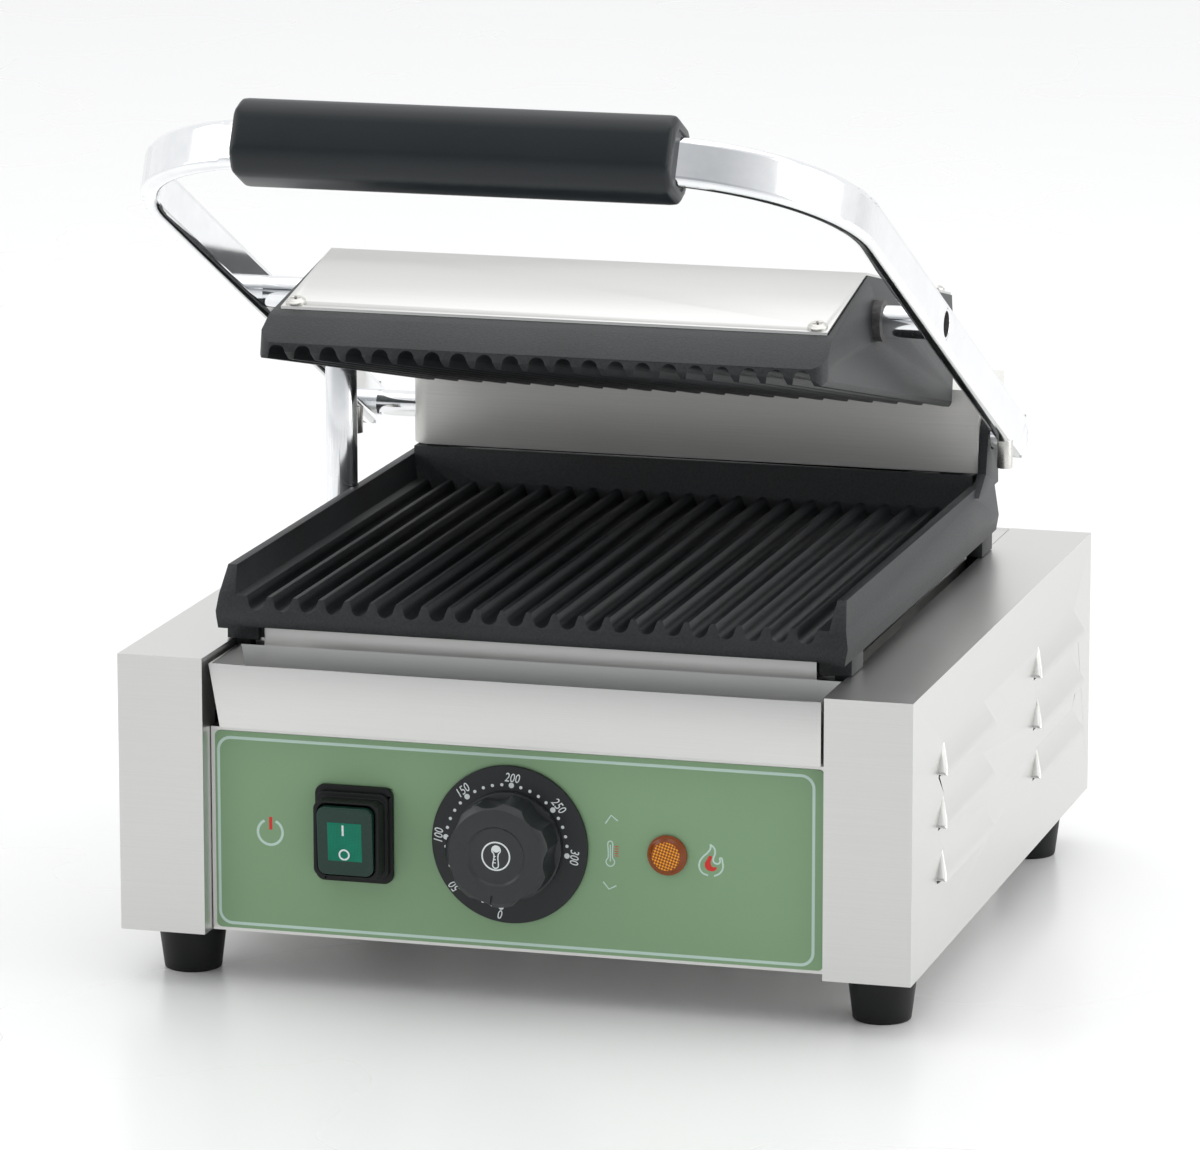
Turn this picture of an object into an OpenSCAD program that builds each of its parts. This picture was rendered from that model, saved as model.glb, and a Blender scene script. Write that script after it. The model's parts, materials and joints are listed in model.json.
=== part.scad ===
// Contact grill: cast plates on a sheet-metal base, with a counterbalanced U-shaped handle.
// X is to the right, Y to the back, Z up; the origin is on the floor, under the middle of the
// overall footprint, handle included.

/* [Base] */
// Overall width across the side casings
body_w = 290; // [230:1:400]
// Depth of the side casings
body_d = 298; // [240:1:400]
// Height of the side casings
case_h = 101; // [80:1:150]
// Width of each side casing
tower_w = 31.6; // [26:0.2:45]
// Thickness of the casing sheet
sheet = 1; // [0.8:0.1:1.4]
// How far the front panel sits behind the casings
panel_setback = 8.6; // [6:0.2:14]
// Height of the rubber feet
foot_h = 20; // [12:1:30]
// Radius of a foot at its top
foot_r = 12.6; // [9:0.2:14]

/* [Drip tray] */
// Height of the drip tray
tray_h = 23; // [16:1:30]
// Depth of the drip tray, front to back
tray_d = 34; // [26:1:40]
// Slope of the tray's left end, whose right end is upright
tray_taper = 4; // [0:0.5:8]

/* [Cast plates] */
// Inset of the lower plate's skirt from the casings' outer faces
plate_inset = 29; // [20:1:34]
// Distance between ribs
rib_pitch = 9.6; // [8:0.2:14]
// Depth of the grooves between ribs
rib_depth = 5; // [3:0.2:6]
// Height of the rib tops above the side casings
rib_top = 18.2; // [17:0.2:26]
// Height of the side walls above the rib tops
wall_rise = 9.7; // [6:0.2:14]
// Height of the upper plate, from rib tips to its rim
upper_h = 42; // [38:1:56]
// Gap left and right of the closed upper plate
upper_gap = 5; // [3:0.5:10]

/* [Handle] */
// Height of the hinge axle above the lower rib tops
axle_rise = 26.8; // [25:0.2:32]
// Distance of the hinge axle from the back of the casings
axle_inset = 43.5; // [40:0.5:60]
// Radius of the hinge axle
axle_r = 5; // [4:0.2:5.4]
// How far the grip's middle stands in front of the casings
grip_overhang = 81; // [60:1:120]
// Gap between the lower plate's skirt and the inside of each arm
arm_gap = 8.5; // [6:0.5:20]
// Sideways offset of the handle, which leaves room for the riser
handle_shift = -3; // [-4:0.5:0]
// Height of the bar's cross-section
bar_h = 17; // [12:0.5:20]
// Thickness of the bar
bar_t = 6.6; // [5:0.2:9]
// Outer radius of the U's corners
bend_r = 70; // [40:1:80]
// Angle of the arms above the closed position
open_angle = 26; // [15:0.5:45]
// Angle of the upper plate above the closed position
plate_tilt = 12.4; // [6:0.2:20]
// Distance across the flats of the grip
grip_w = 28; // [24:0.5:36]
// Length of the grip
grip_l = 155; // [100:1:170]

/* [Controls] */
// Radius of the dial ring
dial_r = 28.6; // [24:0.2:30]
// Radius of the knob
knob_r = 18.9; // [16:0.1:20]
// How far the knob stands out of the panel
knob_h = 17; // [14:0.5:24]
// Radius of the pilot lamp lens
lamp_r = 7.2; // [5:0.2:9]
// Width of the switch bezel
switch_w = 28.8; // [24:0.2:32]
// Height of the switch bezel
switch_h = 35; // [32:0.2:40]
// How far the switch stands out of the panel
switch_out = 12.8; // [10:0.2:16]

/* [Wiring] */
// Outer radius of the chrome riser for the upper plate's wiring
riser_r = 6; // [4:0.2:6.2]
// Bore of the power cord gland
cord_r = 4.2; // [3:0.1:5]

/* [Hidden] */
$fn = 48;
eps = 0.01;
gap = 0.3;
fit = 0.02;
big = 1000;

// Base
half_w = body_w / 2;
half_d = body_d / 2;
case_z = foot_h;
case_top = case_z + case_h;
bay_x = half_w - tower_w;
panel_y = -half_d + panel_setback;
panel_x = bay_x - gap;
panel_top = case_top - tray_h - 3.4;
foot_x = half_w - 17;
foot_y = half_d - 29;
screw_r = 2;
label_t = 0.4;
// Drip tray
tray_z = panel_top + sheet + gap;
tray_x = bay_x - 1.6;
tray_y = -half_d + 2.4;
// Lower plate
skirt_x = half_w - plate_inset;
wall_x = skirt_x - 2.4;
floor_x = skirt_x - 7;
wall_top_x = skirt_x - 5.7;
plate_z = case_top + rib_top;
slab_t = 11;
slab_z = plate_z - slab_t;
foot_pad_z = case_top + gap;
wall_z = plate_z + wall_rise;
plate_y0 = -half_d + 23;
axle_y = half_d - axle_inset;
axle_z = plate_z + axle_rise;
guard_y = axle_y - 9.6;
rear_wall_y = guard_y - 1.5;
cast_back_y = axle_y + 10;
guard_x = skirt_x - 3.9;
lug_x1 = guard_x - sheet - 5.1;
lug_x0 = lug_x1 - 9;
bush_r = axle_r + 1.3;
element_r = 3.2;
element_z = slab_z - element_r - gap;
shield_z = case_top - 8;
// Splash guard
guard_z = wall_z + 3.6;
guard_top = axle_z + 18.4;
guard_back = guard_y + 44;
guard_r = 7;
// Upper plate: a runs from its front edge to the back, b from its rib tips up
upper_x = floor_x - upper_gap;
upper_d = rear_wall_y - plate_y0 - 10;
pivot_a = 81;
pivot_b = 26.5;
shut_gap = 0.6;
arm_len = axle_y - (plate_y0 + pivot_a);
shut_drop = asin((axle_z - plate_z - shut_gap - pivot_b) / arm_len);
arm_angle = open_angle - shut_drop;
pivot_y = axle_y - arm_len * cos(arm_angle);
pivot_z = axle_z + arm_len * sin(arm_angle);
slope_a = 12.5;
slope_b = 17.5;
upper_wall = 7;
upper_floor = rib_depth + 5;
cover_t = 1;
ridge_a = 70;
pin_r = 5.8;
pin_bore_r = 4.7;
pivot_bush_r = pin_r + 1.6;
// Handle
bar_len = axle_y + half_d + grip_overhang;
arm_x = skirt_x + arm_gap;
bar_out = arm_x + bar_t;
grip_flat = grip_w * 0.56;
front_reach = bar_len * cos(arm_angle) + (grip_w * cos(arm_angle) + grip_flat * sin(arm_angle)) / 2;
gland_out = 8;
mid_y = (axle_y - front_reach + half_d + gland_out) / 2;
// Controls
control_z = case_z + 39.2;
dial_x = -2;
dial_t = 1.6;
lamp_x = 55.4;
switch_x = -59.3;
shaft_r = 3;
// Wiring
riser_x = -(wall_top_x + 3.3 + riser_r - 1.2);
riser_y = 29;
riser_top = plate_z + 57;
riser_nut_r = riser_r + 2.2;

// Moves the origin from the middle of the casings to the middle of the overall footprint
module on_floor() {
    translate([0, -mid_y, 0])
        children();
}

// Places a profile drawn as (Y, Z) with its thickness along X
module along_x(length) {
    rotate([90, 0, 90])
        linear_extrude(height = length, center = true)
            children();
}

// Places a profile drawn as (X, Z) with its thickness along Y, going back from y0
module along_y(y0, length) {
    translate([0, y0 + length, 0])
        rotate([90, 0, 0])
            linear_extrude(height = length)
                children();
}

module rod_x(r, length) {
    rotate([0, 90, 0])
        cylinder(h = length, r = r, center = true);
}

module rod_y(r, length) {
    rotate([-90, 0, 0])
        cylinder(h = length, r = r);
}

module both_sides() {
    children();
    mirror([1, 0, 0])
        children();
}

module four_corners(x, y) {
    for (sx = [-1, 1], sy = [-1, 1])
        translate([sx * x, sy * y, 0])
            children();
}

module rounded_rect(w, h, r) {
    square([w - 2 * r, h], center = true);
    square([w, h - 2 * r], center = true);
    for (sx = [-1, 1], sy = [-1, 1])
        translate([sx * (w / 2 - r), sy * (h / 2 - r)])
            circle(r = r);
}

module in_handle_frame() {
    translate([handle_shift, axle_y, axle_z])
        rotate([-arm_angle, 0, 0])
            children();
}

module in_plate_frame() {
    translate([0, pivot_y, pivot_z])
        rotate([-plate_tilt, 0, 0])
            translate([0, -pivot_a, -pivot_b])
                children();
}

// Side casings ---------------------------------------------------------------
louvre_pitch = 19.2;
louvre_h = 10.5;
louvre_l = 81;
louvre_out = 3.4;
louvre_z = case_z + 28;
louvre_ys = [-69.7, 86.6];

module louvre_wedge(inset) {
    top = louvre_h - inset;
    half = louvre_l / 2 - inset;
    intersection() {
        along_x(40)
            polygon([[-half, 0], [half, 0], [half - 8, top], [8 - half, top]]);
        along_y(-louvre_l, 2 * louvre_l)
            polygon([[-sheet, -eps], [louvre_out - inset, -eps], [louvre_out - inset, 1.5], [0, top],
                [-sheet, top]]);
    }
}

module at_louvres() {
    for (y = louvre_ys, row = [0:2])
        translate([half_w, y, louvre_z + row * louvre_pitch])
            children();
}

module side_casing() {
    difference() {
        union() {
            translate([bay_x, -half_d, case_z])
                cube([tower_w, body_d, case_h]);
            at_louvres()
                louvre_wedge(0);
        }
        translate([bay_x + sheet, -half_d + sheet, case_z + sheet])
            cube([tower_w - 2 * sheet, body_d - 2 * sheet, case_h - 2 * sheet]);
        translate([bay_x - 1, -half_d + 14, case_z + 12])
            cube([2 + sheet, body_d - 28, case_h - 24]);
        at_louvres()
            translate([-sheet, 0, -sheet])
                louvre_wedge(sheet);
        for (y = [-foot_y, foot_y])
            translate([foot_x, y, case_z - 1])
                cylinder(h = 2 + sheet, r = screw_r + gap);
        for (y = bolt_ys)
            translate([bay_x, y, bolt_z])
                rod_x(bolt_r + gap, 4);
    }
}

module right_side_casing() {
    color("lightgray")
        side_casing();
}

module left_side_casing() {
    color("lightgray")
        difference() {
            mirror([1, 0, 0])
                side_casing();
            translate([riser_x, riser_y, case_top - 2])
                cylinder(h = 4, r = riser_r + 0.1);
            translate([riser_x, riser_y, case_top - 13])
                cylinder(h = 13 - sheet, r = riser_nut_r + gap);
        }
}

// Base sheets ----------------------------------------------------------------
module base_pan() {
    w = bay_x - gap;
    y0 = panel_y + sheet + gap;
    d = half_d - sheet - gap - y0;
    color("silver")
        difference() {
            translate([-w, y0, case_z])
                cube([2 * w, d, 14]);
            translate([-w - 1, y0 + sheet, case_z + sheet])
                cube([2 * w + 2, d - 2 * sheet, 14]);
            for (x = [-70:20:70])
                translate([x, 0, case_z - 1])
                    along_slot(60);
        }
}

module along_slot(length) {
    translate([-3, -length / 2, 0])
        cube([6, length, 3]);
    for (s = [-1, 1])
        translate([0, s * length / 2, 0])
            cylinder(h = 3, r = 3);
}

module panel_cuts() {
    translate([dial_x, 0, control_z])
        rod_y(shaft_r + 1, 4);
    translate([lamp_x, 0, control_z])
        rod_y(lamp_r - 0.8, 4);
    translate([switch_x, 0, control_z])
        along_y(0, 4)
            square([switch_w - 5, switch_h - 6], center = true);
}

module front_panel() {
    color("silver")
        difference() {
            union() {
                translate([-panel_x, panel_y, case_z])
                    cube([2 * panel_x, sheet, panel_top - case_z]);
                translate([-panel_x, panel_y, panel_top - sheet])
                    cube([2 * panel_x, tray_d, sheet]);
            }
            translate([0, panel_y - 1, 0])
                panel_cuts();
        }
}

module panel_label() {
    color("darkseagreen")
        difference() {
            translate([0, 0, (case_z + panel_top) / 2])
                along_y(panel_y - label_t, label_t)
                    rounded_rect(2 * panel_x - 3, panel_top - case_z - 2.4, 2);
            translate([0, panel_y - label_t - 1, 0])
                panel_cuts();
        }
}

vent_w = 4;

module rear_panel() {
    w = bay_x - gap;
    y = half_d - sheet;
    lip = y - cast_back_y - 2;
    color("lightgray")
        difference() {
            union() {
                translate([-w, y, case_z])
                    cube([2 * w, sheet, case_h]);
                translate([-w, y - lip, case_top - sheet])
                    cube([2 * w, lip + eps, sheet]);
            }
            for (x = [-84:12:84])
                if (abs(x - gland_x) > 16)
                    translate([x - vent_w / 2, y - 1, case_z + 30])
                        cube([vent_w, 4, 40]);
            translate([gland_x, y - 1, gland_z])
                rod_y(gland_r + 0.2, 4);
        }
}

module tray_rails() {
    z = tray_z - gap - sheet;
    color("silver")
        both_sides()
            difference() {
                translate([bay_x - 12, panel_y + tray_d + gap, z - 10])
                    cube([12 - gap, 30, 10 + sheet]);
                translate([bay_x - 13, panel_y + tray_d, z - 11])
                    cube([12 - gap - sheet, 32, 11]);
            }
}

module tray_profile(w, h) {
    polygon([[tray_taper - w, 0], [w, 0], [w, h], [-w, h]]);
}

module drip_tray() {
    wall = 0.9;
    color("silver") {
        translate([-leg_x0 + 1.5, tray_y + tray_d - wall, tray_z + tray_h - 1])
            cube([2 * leg_x0 - 3, wall, slab_z - 2.8 - tray_z - tray_h + 1]);
        difference() {
            translate([0, 0, tray_z])
                along_y(tray_y, tray_d)
                    tray_profile(tray_x, tray_h);
            translate([0, 0, tray_z + wall])
                along_y(tray_y + wall, tray_d - 2 * wall)
                    tray_profile(tray_x - wall * 1.1, tray_h);
        }
    }
}

module heat_shield() {
    w = bay_x - 6;
    y0 = tray_y + tray_d + 6;
    color("gainsboro")
        difference() {
            translate([-w, y0, shield_z])
                cube([2 * w, cast_back_y - y0 - 6, 6]);
            translate([-w + sheet, y0 + sheet, shield_z - 1])
                cube([2 * w - 2 * sheet, cast_back_y - y0 - 6 - 2 * sheet, 6]);
            translate([riser_x, riser_y, shield_z - 1])
                cylinder(h = 8, r = riser_nut_r + 1);
        }
}

module rubber_feet() {
    taper_r = foot_r * 0.82;
    color("black")
        four_corners(foot_x, foot_y)
            difference() {
                union() {
                    cylinder(h = foot_h - 2, r1 = taper_r, r2 = foot_r);
                    translate([0, 0, foot_h - 2])
                        cylinder(h = 2, r = foot_r);
                }
                translate([0, 0, -1])
                    cylinder(h = foot_h / 2 + 1, r = 5);
                cylinder(h = foot_h + 1, r = screw_r + 0.1);
            }
}

module foot_screws() {
    color("silver")
        four_corners(foot_x, foot_y) {
            translate([0, 0, foot_h / 2 - 2.4])
                cylinder(h = 2.3, r = 4);
            translate([0, 0, foot_h / 2 - 0.2])
                cylinder(h = foot_h / 2 + 6, r = screw_r);
        }
}

// Lower plate ----------------------------------------------------------------
bolt_r = 1.7;
nut_r = 3;
bolt_z = case_top - 6;
leg_l = 17;
leg_x0 = bay_x - 10;
leg_x1 = max(skirt_x - 1, bay_x + 1.6);
leg_ys = [plate_y0 + 10.5, cast_back_y - 24];
tab_x0 = bay_x - 5.4;
bolt_ys = [leg_ys[0] + 10.5, leg_ys[1] + 10.5];
groove_r = 3;

// One groove between ribs: a round root that flares towards the rib tips
module groove(depth) {
    flare = rib_pitch / 2 - 0.9;
    translate([0, groove_r - depth])
        circle(r = groove_r);
    polygon([[-groove_r * 0.9, groove_r - depth - 1], [groove_r * 0.9, groove_r - depth - 1],
        [flare, 0.02], [-flare, 0.02]]);
}

module grooves(half, offset) {
    n = floor((half - offset - rib_pitch * 0.36) / rib_pitch);
    for (i = [0:n], s = [-1, 1])
        if (offset > 0 || s > 0 || i > 0)
            translate([s * (i * rib_pitch + offset), 0])
                groove(rib_depth);
}

module lower_section() {
    difference() {
        polygon([[-skirt_x, slab_z + 5], [1 - skirt_x, slab_z - 1], [6 - skirt_x, slab_z - 1],
            [7 - skirt_x, slab_z], [skirt_x - 7, slab_z], [skirt_x - 6, slab_z - 1],
            [skirt_x - 1, slab_z - 1], [skirt_x, slab_z + 5], [wall_x, wall_z], [wall_top_x, wall_z],
            [floor_x, plate_z], [-floor_x, plate_z], [-wall_top_x, wall_z], [-wall_x, wall_z]]);
        translate([0, plate_z])
            grooves(floor_x, rib_pitch / 2);
    }
}

module lower_side_view() {
    polygon([[plate_y0, foot_pad_z - 1], [plate_y0, plate_z - 8], [plate_y0 + 1.6, plate_z + 0.1],
        [plate_y0 + 8, wall_z + 0.1], [cast_back_y, wall_z + 0.1], [cast_back_y, foot_pad_z - 1]]);
}

module hinge_lug() {
    web_front = guard_y + sheet + gap;
    difference() {
        translate([(lug_x0 + lug_x1) / 2, 0, 0])
            along_x(lug_x1 - lug_x0)
                difference() {
                    union() {
                        polygon([[web_front, wall_z - 4], [cast_back_y, wall_z - 4],
                            [axle_y + bush_r + 3, axle_z], [web_front, axle_z]]);
                        translate([axle_y, axle_z])
                            circle(r = bush_r + 3);
                    }
                    translate([web_front - 10, wall_z])
                        square([10, 60]);
                }
        translate([lug_x0, axle_y, axle_z])
            rod_x(bush_r, 60);
    }
}

// A leg that stands on the casing, with a tab that is bolted to the casing's inner wall
module plate_legs() {
    for (y = leg_ys) {
        translate([leg_x0, y, foot_pad_z])
            cube([leg_x1 - leg_x0, leg_l, slab_z - foot_pad_z + 1]);
        translate([tab_x0, y + 4, bolt_z - 5])
            cube([bay_x - gap - tab_x0, leg_l - 4, slab_z - bolt_z + 6]);
    }
}

// The right-hand wall rises beside the splash guard, round the axle
module side_lug() {
    x0 = guard_x + gap;
    x1 = skirt_x - 0.4;
    translate([(x0 + x1) / 2, 0, 0])
        along_x(x1 - x0)
            difference() {
                union() {
                    polygon([[guard_y - 14, wall_z - 3], [guard_y - 2, wall_z + 4], [axle_y - 8.6, axle_z],
                        [axle_y + 8.6, axle_z], [cast_back_y, wall_z - 3]]);
                    translate([axle_y, axle_z])
                        circle(r = 8.8);
                }
                translate([axle_y, axle_z])
                    circle(r = axle_r + 0.6);
            }
}

module lower_grill_plate() {
    rim = 4;
    color("dimgray")
        difference() {
            union() {
                intersection() {
                    along_y(plate_y0 - 1, cast_back_y - plate_y0 + 2)
                        lower_section();
                    along_x(3 * skirt_x)
                        lower_side_view();
                }
                translate([-wall_top_x, rear_wall_y, plate_z - 6])
                    cube([2 * wall_top_x, cast_back_y - rear_wall_y, 6 + wall_rise + 3]);
                both_sides() {
                    hinge_lug();
                    plate_legs();
                }
                side_lug();
                translate([-bay_x, plate_y0 + 14, foot_pad_z])
                    cube([2 * bay_x, 4, slab_z - foot_pad_z + 1]);
            }
            // The space behind the rear wall, under the splash guard
            translate([-lug_x0 + 0.1, guard_y + sheet + 3, slab_z + rim])
                cube([2 * lug_x0 - 0.2, cast_back_y, 60]);
            translate([riser_x, riser_y, foot_pad_z - 1])
                cylinder(h = wall_z, r = riser_r + 0.4);
            for (x = [-bay_x, bay_x], y = bolt_ys)
                translate([x, y, bolt_z])
                    rod_x(bolt_r + 0.05, 20);
            translate([bulb_x, bulb_y, bulb_z])
                rod_y(bulb_r + 0.1, 130);
        }
}

module plate_bolts() {
    color("silver")
        both_sides()
            for (y = bolt_ys)
                translate([bay_x, y, bolt_z])
                    rotate([0, 90, 0]) {
                        translate([0, 0, sheet + 0.02])
                            cylinder(h = 2.5, r = nut_r, $fn = 6);
                        translate([0, 0, -5])
                            cylinder(h = 5 + sheet + 1, r = bolt_r);
                    }
}

// A tubular heating element bent into an M of straight runs and half turns
module element(x_out, y0, y1, r) {
    bend = floor(x_out / 3);
    pitch = 2 * bend;
    half = 1.5 * pitch;
    for (i = [0:3])
        translate([i * pitch - half, y0 + bend, 0])
            rod_y(r, y1 - y0 - 2 * bend + (i % 3 == 0 ? 0.6 * bend : 0));
    for (i = [0:2])
        translate([(i + 0.5) * pitch - half, i % 2 == 0 ? y0 + bend : y1 - bend, 0])
            rotate([0, 0, i % 2 == 0 ? 180 : 0])
                rotate_extrude(angle = 180)
                    translate([bend, 0])
                        circle(r = r, $fn = 24);
}

module clamps(x_half, ys, z, r) {
    for (y = ys)
        translate([-x_half, y - 6, z - r - 2.2])
            cube([2 * x_half, 12, 2]);
}

element_x = floor_x - 24;
element_y0 = round(plate_y0 + 22);
element_y1 = round(rear_wall_y - 14);
clamp_ys = [element_y0 + 50, element_y1 - 50];

module lower_element() {
    color("slategray")
        translate([0, 0, element_z])
            element(element_x, element_y0, element_y1, element_r);
}

module lower_element_clamps() {
    color("silver")
        clamps(element_x + 8, clamp_ys, element_z, element_r);
}

module splash_guard() {
    w = 2 * guard_x;
    h = guard_top - guard_z;
    d = guard_back - guard_y;
    color("silver")
        difference() {
            translate([0, guard_y + d / 2, guard_z])
                linear_extrude(height = h)
                    guard_plan(w, d, guard_r);
            translate([0, guard_y + d / 2 + sheet, guard_z - 1])
                linear_extrude(height = h - sheet + 1)
                    guard_plan(w - 2 * sheet, d, guard_r - sheet);
            translate([0, axle_y, axle_z])
                rod_x(axle_r + 1, 2 * w);
        }
}

// Plan of the guard: rounded at the left front corner only, as the right-hand lug stands beside it
module guard_plan(w, d, r) {
    translate([-w / 2, r - d / 2])
        square([w, d - r]);
    translate([r - w / 2, -d / 2])
        square([w - r, d]);
    translate([r - w / 2, r - d / 2])
        circle(r = r);
}

// Hinge ----------------------------------------------------------------------
module axle_bushes() {
    color("darkgoldenrod")
        both_sides()
            translate([(lug_x0 + lug_x1) / 2, axle_y, axle_z])
                difference() {
                    rod_x(bush_r, lug_x1 - lug_x0);
                    rod_x(axle_r + 0.05, 20);
                }
}

module hinge_axle() {
    color("silver")
        translate([handle_shift, axle_y, axle_z])
            rod_x(axle_r, 2 * bar_out);
}

spring_x0 = 48;
spring_turns = 9;
wire_r = 1.2;
spring_r = axle_r + 0.8 + wire_r;

module counterbalance_springs() {
    pitch = wire_r * 2.2;
    color("gray")
        both_sides()
            translate([spring_x0, axle_y, axle_z]) {
                rotate([0, 90, 0])
                    rotate_extrude() {
                        for (i = [0:spring_turns])
                            translate([spring_r, i * pitch])
                                square(1.8 * wire_r, center = true);
                        // Thin web that holds the turns together
                        translate([spring_r - 0.4, 0])
                            square([0.8, spring_turns * pitch]);
                    }
                // Fixed leg, which rests on the casting behind the rear wall
                translate([spring_turns * pitch, spring_r, 0])
                    mirror([0, 0, 1])
                        cylinder(h = axle_z - slab_z - 4.2, r = wire_r);
            }
}

module spring_collars() {
    color("silver")
        both_sides()
            translate([spring_x0 - 8.6, axle_y, axle_z])
                difference() {
                    rod_x(axle_r + 3, 9);
                    rod_x(axle_r + fit, 20);
                }
}

// Handle, with its arms along -Y before it is turned up -------------------------
module bar_section() {
    rounded_rect(bar_t, bar_h, bar_t / 2 - 0.6);
}

module handle_bar() {
    mid = bar_out - bar_t / 2;
    turn = bend_r - bar_t / 2;
    color("gainsboro")
        difference() {
            in_handle_frame() {
                both_sides()
                    translate([mid, 0, 0]) {
                        rotate([90, 0, 0])
                            linear_extrude(height = bar_len - turn)
                                bar_section();
                        intersection() {
                            rod_x(bar_h / 2, bar_t - 1.2);
                            translate([-20, 0, -20])
                                cube(40);
                        }
                    }
                both_sides()
                    translate([mid - turn, turn - bar_len, 0])
                        rotate([0, 0, -90])
                            rotate_extrude(angle = 90, $fn = 96)
                                translate([turn, 0])
                                    bar_section();
                translate([turn - mid, -bar_len, 0])
                    rotate([90, 0, 90])
                        linear_extrude(height = 2 * (mid - turn))
                            bar_section();
            }
            in_handle_frame() {
                rod_x(axle_r + fit, 3 * bar_out);
                translate([0, -arm_len, 0])
                    rod_x(pin_r + fit, 3 * bar_out);
            }
            at_stop_bolts()
                cylinder(h = stop_l, r = stop_r + fit);
        }
}

module grip_profile(w) {
    h = w / 2;
    c = h - grip_flat / 2;
    polygon([[-h, c - h], [c - h, -h], [h - c, -h], [h, c - h], [h, h - c], [h - c, h], [c - h, h],
        [-h, h - c]]);
}

module handle_grip() {
    end = 4;
    color("darkslategray")
        in_handle_frame()
            translate([0, -bar_len, 0])
                difference() {
                    intersection() {
                        along_x(grip_l)
                            grip_profile(grip_w);
                        // Chamfered ends, cut across the flats both ways
                        for (turn = [0, 90])
                            rotate([turn, 0, 0])
                                linear_extrude(height = 2 * grip_w, center = true)
                                    polygon([[-grip_l / 2, end - grip_w / 2],
                                        [end - grip_l / 2, -grip_w / 2],
                                        [grip_l / 2 - end, -grip_w / 2],
                                        [grip_l / 2, end - grip_w / 2],
                                        [grip_l / 2, grip_w / 2 - end],
                                        [grip_l / 2 - end, grip_w / 2],
                                        [end - grip_l / 2, grip_w / 2],
                                        [-grip_l / 2, grip_w / 2 - end]]);
                    }
                    rotate([90, 0, 90])
                        linear_extrude(height = grip_l + 2, center = true)
                            square([bar_t + 0.4, bar_h + 0.4], center = true);
                    // Room where the bar starts to bend inside the grip
                    both_sides()
                        translate([grip_l / 2, (grip_w / 2 - bar_t) / 4 + bar_t / 2, 0])
                            cube([2 * (grip_l / 2 - bar_out + bend_r) + 2, bar_t, bar_h + 0.4],
                                center = true);
                }
}

module pivot_pins() {
    inner = upper_x - 9;
    color("gainsboro")
        for (s = [-1, 1]) {
            outer = bar_out + s * handle_shift;
            translate([s * (outer + inner) / 2, pivot_y, pivot_z])
                difference() {
                    rod_x(pin_r, outer - inner);
                    rod_x(pin_bore_r, outer);
                }
        }
}

stop_r = 3;
stop_l = 12;
stop_reach = 21;

module at_stop_bolts() {
    for (s = [-1, 1])
        translate([handle_shift + s * (bar_out - bar_t / 2), axle_y - stop_reach,
            axle_z + stop_reach * tan(arm_angle) - bar_h / 2 - 10])
            children();
}

module arm_stop_bolts() {
    color("silver")
        at_stop_bolts()
            cylinder(h = stop_l, r = stop_r);
}

// Upper plate, drawn in its own frame ------------------------------------------
module upper_side_view() {
    polygon([[2.6, 0], [upper_d - 4, 0], [upper_d, 5], [upper_d - 3, upper_h],
        [ridge_a, upper_h], [slope_a + 1.5, slope_b], [slope_a - 2, slope_b - 2], [0.2, 5.6], [0, 2.4]]);
}

module upper_front_view(x) {
    lean = 3;
    polygon([[-x + 1.5, 0], [-x, 2], [-x, 6], [-x + lean, upper_h], [x - lean, upper_h], [x, 6], [x, 2],
        [x - 1.5, 0]]);
}

module upper_plan(x) {
    r = 7;
    translate([0, upper_d / 2])
        rounded_rect(2 * x, upper_d, r);
}

module upper_grill_plate() {
    color("dimgray")
        in_plate_frame()
            difference() {
                intersection() {
                    along_x(2 * upper_x)
                        upper_side_view();
                    along_y(-1, upper_d + 2)
                        upper_front_view(upper_x);
                    translate([0, 0, -1])
                        linear_extrude(height = upper_h + 2)
                            upper_plan(upper_x);
                }
                along_y(-1, upper_d + 2)
                    mirror([0, 1])
                        grooves(upper_x, 0);
                // Hollow for the element, closed by the cover
                intersection() {
                    translate([upper_wall - upper_x, slope_a + 5, upper_floor])
                        cube([2 * (upper_x - upper_wall), upper_d - slope_a - 5 - upper_wall, upper_h]);
                    along_x(2 * upper_x)
                        polygon([[slope_a + 5, 0], [upper_d, 0], [upper_d, big], [ridge_a, big],
                            [slope_a + 5, slope_b + 6]]);
                }
                // Seat of the cover
                cover_solid(0, gap);
                translate([0, pivot_a, pivot_b])
                    rod_x(pivot_bush_r, 3 * upper_x);
                at_cover_screws()
                    translate([0, 0, -6])
                        cylinder(h = 7, r = screw_r);
                translate([-upper_x, lead_a, pivot_b])
                    rod_x(lead_r + 0.05, 40);
            }
}

cover_inset = 2.6;
slope_angle = atan((upper_h - slope_b) / (ridge_a - slope_a - 1.5));

// The sheet that closes the hollow: a front slope, a flat top and a rear lip
module cover_solid(drop, clear) {
    w = upper_x - cover_inset - 1 + clear;
    a0 = slope_a + 3 - clear;
    a1 = upper_d - 4 + clear;
    b0 = upper_h - (ridge_a - a0) * tan(slope_angle);
    translate([0, 0, -drop])
        along_x(2 * w)
            polygon([[a0, b0 - cover_t], [ridge_a, upper_h - cover_t], [a1, upper_h - cover_t],
                [a1, upper_h + 1 + clear], [ridge_a, upper_h + clear + 0.4], [a0, b0 + clear + 0.4]]);
}

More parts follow.
